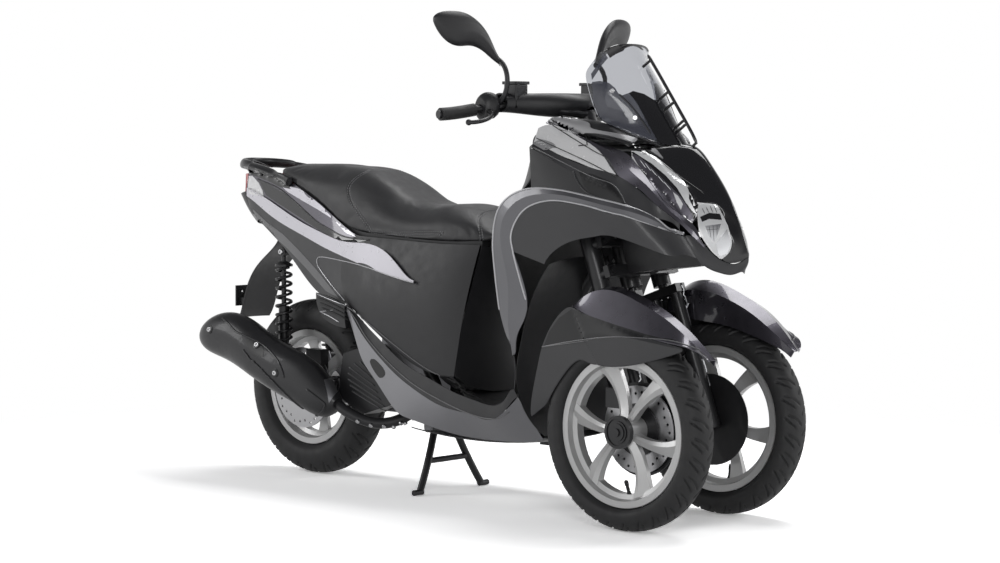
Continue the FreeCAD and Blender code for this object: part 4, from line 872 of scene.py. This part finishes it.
addTrims([
    # pale plate along the top of the dark gloss upper cowl under the screen: painted highlight
    ("upperStrip", "paintSilver", frontSkin,
     [plate(frontSet["strip"], 0.0040, smooth=True, grid=1.5, sink=0.004)]),
    ("frontSeams", "deepBlack", frontSkin,
     [bead(frontSet["upperSeam"], 0.0016, 0.3)] + [bead(seam, 0.0013, 0.2) for seam in frontSet["seams"]]),
    ("cowlVent", "deepBlack", cowlSkin, [plate(frontSet["vent"])]),
    ("cowlVentEdge", "plasticGrey", cowlSkin, [bead(frontSet["ventEdge"], 0.0022, 0.3)]),
    ("cowlLine", "plasticPale", cowlSkin, [bead(frontSet["cowlLine"], 0.0012, 0.3)]),
])

flapSet = {
    # the recess between the fender and the blade, filled by a dark plate as painted shade
    "recess": [(572, 309), (590, 316), (613, 324), (645, 334), (680, 343), (672, 339), (640, 337), (609, 336),
               (574, 340), (544, 346), (549, 332), (559, 318)],
    "edge": [(541, 347), (574, 341), (609, 337), (640, 338), (672, 341), (700, 350)],
}
flapSkin = ["fender_flap_right", "fender_right"]
addForkTrims([
    # dark plate where the fender meets the blade: painted shade in the recess
    ("flapRecess", "deepBlack", flapSkin, [plate(flapSet["recess"])]),
    ("flapEdge", "plasticPale", flapSkin, [bead(flapSet["edge"], 0.0015, 0.4)]),
], ("right", "left"))

forkLines = [[(681, 283), (688, 306)], [(690, 306), (696, 330)], [(702, 358), (710, 386)]]
addForkTrims([
    ("forkLines", "chrome", ["fork_left"], [bead(line, 0.0024, 0.5) for line in forkLines]),
], ("left", "right"))
print("front trim")

# Painted highlights: pale beads along the top and lower edges of the leg strips

stripRails = {
    "top": [(104, 109, 742), (52, 150, 776), (-9, 202, 810), (-75, 218, 824), (-182, 229, 842), (-292, 233, 846),
            (-361, 236, 825), (-405, 237, 780), (-419, 236, 711), (-412, 236, 634), (-394, 237, 532)],
    "low": [(100, 112, 735), (62, 146, 754), (0, 200, 781), (-52, 213, 792), (-128, 227, 809), (-225, 234, 817),
            (-306, 238, 794), (-350, 239, 740), (-347, 239, 683), (-305, 236, 562)],
}
# a pale bead along each rail: painted highlights on the strips' edges
piece = newShape()
for rail in stripRails.values():
    spots = smoothLine([fromAxle(*p) for p in rail], 0.006)
    addTube(piece, [surface("leg_strips").find_nearest(spot)[0] for spot in spots], 0.0024, taper=0.4)
finishPiece("stripEdges", piece, "trimPale", "chassis", both=True)
print("strips")

# The seat, a padded cushion with sewn seams

seatSet = {
    "weld": 0.00006,
    "voxel": 0.006,
    "smoothing": 4,
    "pressure": 3.0,
    "stiffness": 18,
    "frames": 18,
    "under": -0.4,  # the underside, which the pan holds, faces further down than this
    "most": 0.007,  # how far the filling may push the cover, in metres
    "seams": [  # from the right edge up to the middle, as points of the picture
        [(379, 242), (364, 223), (352, 205), (348, 192), (350, 184), (358, 177), (370, 172)],
        [(481, 259), (482, 245), (480, 228), (479, 219), (484, 214)],
    ],
    "groove": 0.0022,  # how deep a seam draws the cover in, and how wide
    "grooveWidth": 0.0035,
    "grooveReach": 0.016,
    "apart": 0.0075,  # between the two rows of thread
    "stitch": 0.0052,
    "gap": 0.0026,
    "trace": 0.0009,  # the steps in which a row of stitches is followed
    "thread": 0.0011,
}


def evaluated(item):
    graph = bpy.context.evaluated_depsgraph_get()
    graph.update()
    return bpy.data.meshes.new_from_object(item.evaluated_get(graph))


def swapMesh(item, mesh):
    old = item.data
    item.modifiers.clear()
    item.data = mesh
    bpy.data.meshes.remove(old)


def addModifier(item, kind, **settings):
    modifier = item.modifiers.new(kind.lower(), kind)
    for key, value in settings.items():
        setattr(modifier, key, value)
    return modifier


def fillCushion(seat, s):
    # the cover is blown up a little as cloth, held at its underside
    rest = [vertex.co.copy() for vertex in seat.data.vertices]
    held = seat.vertex_groups.new(name="held")
    held.add([v.index for v in seat.data.vertices if v.normal.z < s["under"]], 1.0, "REPLACE")
    cloth = addModifier(seat, "CLOTH").settings
    cloth.quality = 5
    cloth.mass = 0.25
    cloth.tension_stiffness = s["stiffness"]
    cloth.compression_stiffness = s["stiffness"]
    cloth.bending_stiffness = 1.5
    cloth.use_pressure = True
    cloth.uniform_pressure_force = s["pressure"]
    cloth.vertex_group_mass = "held"
    cloth.effector_weights.gravity = 0
    for step in range(1, s["frames"] + 1):
        bpy.context.scene.frame_set(step)
    filled = evaluated(seat)
    for vertex, before in zip(filled.vertices, rest):
        push = vertex.co - before
        if push.length > s["most"]:
            vertex.co = before + push.normalized() * s["most"]
    swapMesh(seat, filled)
    bpy.context.scene.frame_set(1)


def makeSeat(s):
    source = nodes["seat_cushion"]
    work = bmesh.new()
    work.from_mesh(source.data)
    work.transform(source.matrix_world)
    bmesh.ops.remove_doubles(work, verts=work.verts, dist=s["weld"])
    mesh = bpy.data.meshes.new("seatPad")
    work.to_mesh(mesh)
    work.free()
    seat = addObject("seatPad", mesh)
    addModifier(seat, "REMESH", mode="VOXEL", voxel_size=s["voxel"])
    addModifier(seat, "SMOOTH", iterations=s["smoothing"], factor=0.5)
    swapMesh(seat, evaluated(seat))
    fillCushion(seat, s)
    addModifier(seat, "SMOOTH", iterations=s["smoothing"] - 1)
    addModifier(seat, "SUBSURF", levels=1, render_levels=1)
    swapMesh(seat, evaluated(seat))
    return seat


def seamPlaces(s, tree):
    lines = []
    for seam in s["seams"]:
        half = [seen(["seat_cushion"], u, v)[0] for u, v in smoothLine(seam, 1.2)]
        half.append(Vector((half[-1].x, 0.0, half[-1].z + 0.02)))
        full = half + flipped(half[:-1])[::-1]
        lines.append([tree.find_nearest(p)[0] for p in smoothLine(full, 0.004)])
    return lines


def pressSeams(seat, s, lines):
    spots = [p for line in lines for p in line]
    near = KDTree(len(spots))
    for index, spot in enumerate(spots):
        near.insert(spot, index)
    near.balance()
    normals = [vertex.normal.copy() for vertex in seat.data.vertices]
    for vertex, normal in zip(seat.data.vertices, normals):
        _, _, reach = near.find(vertex.co)
        if reach < s["grooveReach"]:
            vertex.co -= normal * s["groove"] * math.exp(-(reach / s["grooveWidth"]) ** 2)
    seat.data.update()


def addStitches(threads, row, s):
    travel = 0.0
    piece = [row[0]]
    for a, b in zip(row, row[1:]):
        size = (b - a).length
        steps = max(1, int(size / s["trace"]))
        for k in range(1, steps + 1):
            travel += size / steps
            if travel < s["stitch"]:
                piece.append(a.lerp(b, k / steps))
            elif travel > s["stitch"] + s["gap"]:
                if len(piece) > 1:
                    ends = [piece[0], piece[len(piece) // 2], piece[-1]]
                    addTube(threads, ends, s["thread"], sides=6, taper=0.5)
                piece = [a.lerp(b, k / steps)]
                travel = 0.0


def sewSeat(seat, s):
    lines = seamPlaces(s, meshTree(seat))
    pressSeams(seat, s, lines)
    tree = meshTree(seat)
    threads = newShape()
    for line in lines:
        for offset in (-0.5, 0.5):
            row = []
            for k, spot in enumerate(line):
                way = (line[min(k + 1, len(line) - 1)] - line[max(k - 1, 0)]).normalized()
                normal = tree.find_nearest(spot)[1]
                side = way.cross(normal).normalized() * s["apart"] * offset
                hit, normal, _, _ = tree.find_nearest(spot + side)
                row.append(hit + normal * s["thread"] * 0.5)
            addStitches(threads, row, s)
    finishPiece("seatStitches", threads, "thread", "seat")


seat = makeSeat(seatSet)
sewSeat(seat, seatSet)
seat.data.materials.clear()
seat.data.materials.append(materials["seatVinyl"])
seat.data.shade_smooth()
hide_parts("seat_cushion")
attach(seat, "seat")
print("seat")

# The windscreen's dark bands, its lower part darkened for the inner layer behind it with a painted bluish
# reflection, and the bar in front of it

screenSet = {
    "black": [(629, 93), (633, 91), (644, 94), (654, 100), (661, 101), (667, 108), (675, 121), (685, 136),
              (690, 148), (684, 151), (672, 147), (658, 141), (648, 124), (637, 103)],
    "corner": [(605, 50), (616, 46), (628, 45), (623, 51), (616, 54), (610, 58)],
    "deep": [(592, 82), (600, 81), (609, 83), (615, 88), (620, 96), (629, 93), (637, 103), (648, 124), (657, 140),
             (642, 138), (621, 129), (603, 126), (597, 118), (593, 103)],
    "side": [(598, 64), (604, 52), (608, 58), (602, 65), (596, 74), (592, 80), (591, 74)],
    "ridge": [(619, 94), (632, 107), (643, 122), (651, 134)],
    "top": [(606, 50), (616, 46), (629, 45), (637, 46), (643, 50)],
    "screws": [(612, 91), (635, 118)],
}
screenSkin = ["windscreen"]
addTrims([
    ("screenBand", "glossBlack", screenSkin, [plate(screenSet["black"]), plate(screenSet["corner"])]),
], both=False)
addTrims([
    # darker bluish glass on the screen's lower part: the inner layer behind it, and a painted bluish reflection
    ("screenTint", "screenDeep", screenSkin,
     [plate(screenSet["deep"], 0.0004), plate(screenSet["side"], 0.0004)]),
    ("screenRim", "glossBlack", screenSkin,
     [bead(screenSet["top"], 0.0030, 0.1), bead(screenSet["ridge"], 0.0024, 0.2)]),
    ("screenScrews", "brightBolt", screenSkin, [boltsAt(screenSet["screws"], 0.0062, 0.0035)]),
])

garnish = {
    "bar": [(648, 55), (659, 74), (668, 90), (677, 106), (686, 122), (693, 135), (697, 144)],
    "ribs": [(651, 60), (668, 92), (673, 103), (683, 121), (685, 125), (696, 143)],
    "radius": 0.0042,
    "rib": 0.9,
}
piece = newShape()
bar = smoothLine([onMiddle(u, v) for u, v in garnish["bar"]], 0.01)
addTube(piece, bar, garnish["radius"], sides=12, taper=0.5)
for spot in garnish["ribs"]:
    outer = onMiddle(*spot)
    inner = surface("windscreen").find_nearest(outer)[0]
    addTube(piece, [outer, inner], garnish["radius"] * garnish["rib"], sides=10)
finishPiece("screenGarnish", piece, "glossBlack", "chassis")
print("windscreen")

# The tail


def flatLamp(name, share):
    # the frame's own lamp with less bulge towards the rear
    source = nodes[name]
    mesh = source.data.copy()
    mesh.transform(source.matrix_world)
    front = max(vertex.co.x for vertex in mesh.vertices)
    for vertex in mesh.vertices:
        vertex.co.x = front - (front - vertex.co.x) * share
    mesh.materials.clear()
    mesh.materials.append(materials["redLens"])
    lamp = addObject("rearLamp", mesh)
    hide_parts(name)
    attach(lamp, "chassis")


tailSet = {
    "lens": [(249, 176), (253, 176), (259, 183), (263, 191), (264, 197), (250, 194), (248, 188)],
    # a painted highlight on the shoulder of the upper tail panel
    "shine": [(277, 182), (288, 186), (300, 189), (308, 194), (317, 202), (335, 217), (356, 237), (346, 233),
              (333, 219), (317, 209), (303, 201), (288, 192)],
    "skirt": [(243, 166), (249, 174), (258, 177), (268, 181), (280, 187), (291, 189), (284, 180), (268, 173),
              (255, 168)],
    "channel": [(258, 178), (268, 184), (282, 192), (298, 203), (315, 219), (330, 230), (346, 237), (369, 240),
                (356, 243), (340, 241), (320, 231), (298, 216), (279, 204), (266, 195)],
    "line": [(257, 179), (278, 188), (293, 200), (315, 220), (331, 230), (346, 237), (370, 240)],
    "lower": [(253, 209), (269, 224), (283, 234), (298, 249), (317, 270), (339, 298), (326, 291), (306, 268),
              (288, 249), (270, 233), (254, 218)],
    # pale line along the lower and upper edges of the side cover's dark recess: painted highlight
    "accent": [(345, 301), (331, 284), (320, 269), (317, 262), (318, 258), (323, 257), (339, 260), (363, 266),
               (388, 275), (414, 283)],
    "grabTop": [(252, 161), (259, 162), (273, 168)],
    "grabLow": [(248, 168), (258, 172), (270, 179), (281, 185)],
}
flatLamp("tail_lamp", 0.45)
tailSkin = ["tail_upper_panels", "tail_stripes", "tail_lower_panels", "tail_lamp", "side_covers"]
addTrims([
    # a near-white plate on the red rear lamp, in the lens finish whose colour is a painted reflection
    ("rearLens", "lampBright", tailSkin, [plate(tailSet["lens"], 0.0012)]),
    ("grabSkirt", "glossBlack", ["grab_rail", "tail_upper_panels"], [plate(tailSet["skirt"])]),
    # lilac plate on the dark upper tail panel: painted highlight
    ("tailShoulder", "paintLilac", tailSkin, [plate(tailSet["shine"], 0.0005)]),
    ("tailChannel", "glossBlack", tailSkin, [plate(tailSet["channel"], 0.0007)]),
    ("tailRib", "plasticGrey", tailSkin, [bead(tailSet["line"], 0.0022, 0.3)]),
    ("tailLowerBand", "plasticPale", tailSkin, [plate(tailSet["lower"])]),
    # painted highlight along the edges of the side cover's recess
    ("tailAccents", "trimPale", tailSkin, [bead(tailSet["accent"], 0.0014, 0.4)]),
    ("grabLine", "plasticPale", ["grab_rail"],
     [bead(tailSet["grabTop"], 0.0014, 0.4), bead(tailSet["grabLow"], 0.0016, 0.4)]),
])
print("tail")

# Side and floor trim

sideSet = {
    "piping": [[(347, 308), (356, 320), (367, 338), (387, 361), (412, 383), (440, 400), (470, 414), (494, 419),
                (510, 412)],
               [(346, 306), (362, 318), (396, 346), (421, 365), (440, 376)]],
    "slot": [(370, 361), (374, 359), (383, 368), (385, 375), (380, 378), (373, 369)],
    "mat": [[(447, 378), (468, 388)], [(452, 384), (474, 394)], [(458, 390), (481, 400)]],
    "stepEdges": [[(317, 294), (329, 299), (346, 306)], [(319, 311), (329, 316), (339, 322)]],
    "stepRibs": [[(318, 298), (330, 303), (346, 311)], [(320, 303), (332, 308), (348, 316)],
                 [(322, 308), (334, 313), (350, 321)]],
    "fanRibs": [[(360, 361), (368, 370)], [(354, 363), (372, 378)], [(349, 367), (375, 386)],
                [(348, 373), (378, 393)], [(348, 379), (381, 400)], [(350, 385), (385, 407)],
                [(352, 391), (388, 413)]],
    "bolts": [(343, 419), (358, 421), (371, 425), (384, 426), (394, 428), (410, 432), (420, 428), (401, 423)],
}
sideSkin = ["floorboard", "side_skirts", "side_covers", "passenger_steps"]
lowerSkin = ["radiator_cover", "belly_pan", "side_skirts", "engine_block", "muffler"]
addTrims([
    ("sidePiping", "plasticPale", sideSkin, [bead(line, 0.0018, 0.4) for line in sideSet["piping"]]),
    ("skirtSlot", "deepBlack", sideSkin, [plate(sideSet["slot"], smooth=True)]),
    ("floorRibs", "softRubber", sideSkin, [bead(line, 0.0028, 0.3) for line in sideSet["mat"]]),
    ("stepEdges", "trimPale", ["passenger_steps"], [bead(line, 0.0014, 0.5) for line in sideSet["stepEdges"]]),
    ("stepRibs", "softRubber", ["passenger_steps"], [bead(line, 0.0030, 0.3) for line in sideSet["stepRibs"]]),
])
addTrims([
    ("fanRibs", "plasticGrey", ["radiator_cover"], [bead(line, 0.0028, 0.2) for line in sideSet["fanRibs"]]),
    ("lowerBolts", "brightBolt", lowerSkin, [boltsAt(sideSet["bolts"], 0.0060, 0.005)]),
], both=False)
print("sides")

# The muffler

canSet = {
    "recess": [(246, 337), (253, 338), (260, 343), (264, 350), (264, 357), (255, 356), (248, 351)],
    "crease": [(222, 318), (229, 324), (235, 331), (246, 336), (263, 345), (276, 358), (282, 370), (284, 378)],
    "seam": [(202, 345), (210, 359), (241, 379), (273, 399), (299, 417)],
    "bolts": [(209.5, 329.5), (275, 373), (257, 345)],
    "washer": [(0.0125, -0.002), (0.0125, 0.0008), (0.0115, 0.0012)],
    "joint": [(306, 389), (319, 399), (325, 405), (321, 413), (314, 417)],
    "shield": [(324, 380), (331, 378), (339, 376), (340, 383), (339, 390), (333, 397), (329, 403), (327, 392)],
    "link": [(339, 404), (346, 406), (352, 407)],
}
canSkin = ["muffler"]
shieldSkin = ["radiator_cover", "swing_arm", "engine_block", "muffler"]
linkSkin = ["radiator_cover", "belly_pan", "engine_block"]


def washersAt(spots, profile):
    def draw(shape, skin):
        for spot in spots:
            addLathe(shape, *seen(skin, *spot), profile)
    return draw


def linkBead(shape, skin):
    addLine(shape, linkSkin, canSet["link"], 0.0030, lift=0.6)


addTrims([
    ("canRecess", "deepBlack", canSkin, [plate(canSet["recess"], 0.0008)]),
    ("canSeams", "steelBlack", canSkin,
     [bead(canSet["crease"], 0.0030, 0.1), bead(canSet["seam"], 0.0030, 0.1),
      bead(canSet["joint"], 0.0035, 0.1)]),
    ("canBolts", "brightBolt", canSkin, [boltsAt(canSet["bolts"], 0.0075, 0.005)]),
    ("canWashers", "deepBlack", canSkin, [washersAt(canSet["bolts"], canSet["washer"])]),
    ("muffleBracket", "castGrey", shieldSkin, [plate(canSet["shield"], 0.0020), linkBead]),
], both=False)
print("muffler")

# Details on the hidden sides

glassSet = {"facing": -0.75, "over": 1.15, "shrink": 0.93, "lift": 0.0009}


def addMirrorFaces(s):
    # bright plates on the backs of the mirrors
    source = nodes["mirrors"]
    work = bmesh.new()
    work.from_mesh(source.data)
    work.transform(source.matrix_world)
    shape = newShape()
    for side in (1, -1):
        faces = [f for f in work.faces if f.normal.x < s["facing"] and f.calc_center_median().y * side > 0
                 and f.calc_center_median().z > s["over"]]
        total = sum(f.calc_area() for f in faces)
        middle = sum((f.calc_center_median() * f.calc_area() for f in faces), Vector()) / total
        start = {}
        for face in faces:
            for vertex in face.verts:
                if vertex.index not in start:
                    start[vertex.index] = len(shape["verts"])
                    place = middle + (vertex.co - middle) * s["shrink"]
                    shape["verts"].append(place - Vector((s["lift"], 0, 0)))
            shape["faces"].append(tuple(start[vertex.index] for vertex in face.verts))
    work.free()
    finishPiece("mirrorFaces", shape, "mirrorGlass", "steering")


addMirrorFaces(glassSet)

driveSet = {  # millimetres from the front axle
    "ribs": 7, "front": -1010, "rear": -1240, "low": 274, "steps": 9, "forward": -5, "up": 6.5,
    "bolts": [(-900, 330), (-905, 262), (-1010, 348), (-1010, 238), (-1130, 345), (-1130, 232), (-1250, 330),
              (-1262, 250)],
    "outside": 400,
}


def onDrive(x, z):
    # the place and normal on the left face of the drive case
    start = fromAxle(x, driveSet["outside"], z)
    return surface("drive_case").ray_cast(start, Vector((0, -1, 0)))[:2]


def addDriveRibs(s):
    shape = newShape()
    for k in range(s["ribs"]):
        x = s["front"] + (s["rear"] - s["front"]) * k / (s["ribs"] - 1)
        places = []
        for step in range(s["steps"]):
            hit, normal = onDrive(x + step * s["forward"], s["low"] + step * s["up"])
            if hit:
                places.append(hit + normal * 0.0004)
        if len(places) > 2:
            addTube(shape, places, 0.0030, taper=0.5)
    finishPiece("driveRibs", shape, "castGrey", "chassis")


def addDriveBolts(s):
    shape = newShape()
    for x, z in s["bolts"]:
        hit, normal = onDrive(x, z)
        if hit:
            addBolt(shape, hit, normal, 0.0070, 0.005)
    finishPiece("driveBolts", shape, "brightBolt", "chassis")


addDriveRibs(driveSet)
addDriveBolts(driveSet)
print("hidden sides")

# Rear springs

springSet = {  # places in millimetres from the front axle, profiles in metres
    "x": -1360, "y": 92, "low": 334, "top": 640, "radius": 21.5, "wire": 4.2, "turns": 9, "steps": 28,
    "foot": 31, "length": 231,
    "body": [(0.0075, 0.008), (0.0150, 0.018), (0.0150, 0.150), (0.0070, 0.152), (0.0070, 0.298)],
    "lowSeat": [(0.010, 0.022), (0.0258, 0.024), (0.0258, 0.029), (0.010, 0.031)],
    "topSeat": [(0.010, 0.262), (0.0258, 0.264), (0.0258, 0.270), (0.010, 0.278)],
    "eye": [(0.0139, 0), (0.0139, 0.0208)],
    "eyeBack": -10.4,
    "bolt": (0.0080, 0.005),
    "boltOut": 11.0,
}


def makeSprings(s):
    metal, coil, eyes = newShape(), newShape(), newShape()
    count = s["steps"] * s["turns"]
    for side in (1, -1):
        def spot(z, dx=0.0, dy=0.0):
            return fromAxle(s["x"] + dx, side * s["y"] + dy, s["low"] + z)
        for profile in ("body", "lowSeat", "topSeat"):
            addLathe(metal, spot(0), (0, 0, 1), s[profile])
        line = []
        for k in range(count + 1):
            angle = 2 * math.pi * k / s["steps"]
            line.append(spot(s["foot"] + s["length"] * k / count, math.cos(angle) * s["radius"],
                             math.sin(angle) * s["radius"]))
        addTube(coil, line, s["wire"] * 0.001)
        for z in (0, s["top"] - s["low"]):
            addLathe(metal, spot(z, 0, s["eyeBack"]), (0, 1, 0), s["eye"])
            addBolt(eyes, spot(z, 0, side * s["boltOut"]), (0, side, 0), *s["bolt"])
    body = finishPiece("damperBodies", metal, "steelBlack", "chassis")
    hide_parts("rear_shocks")
    finishPiece("springCoils", coil, "steelBlack", "chassis")
    finishPiece("damperBolts", eyes, "brightBolt", "chassis")


makeSprings(springSet)
print("springs")
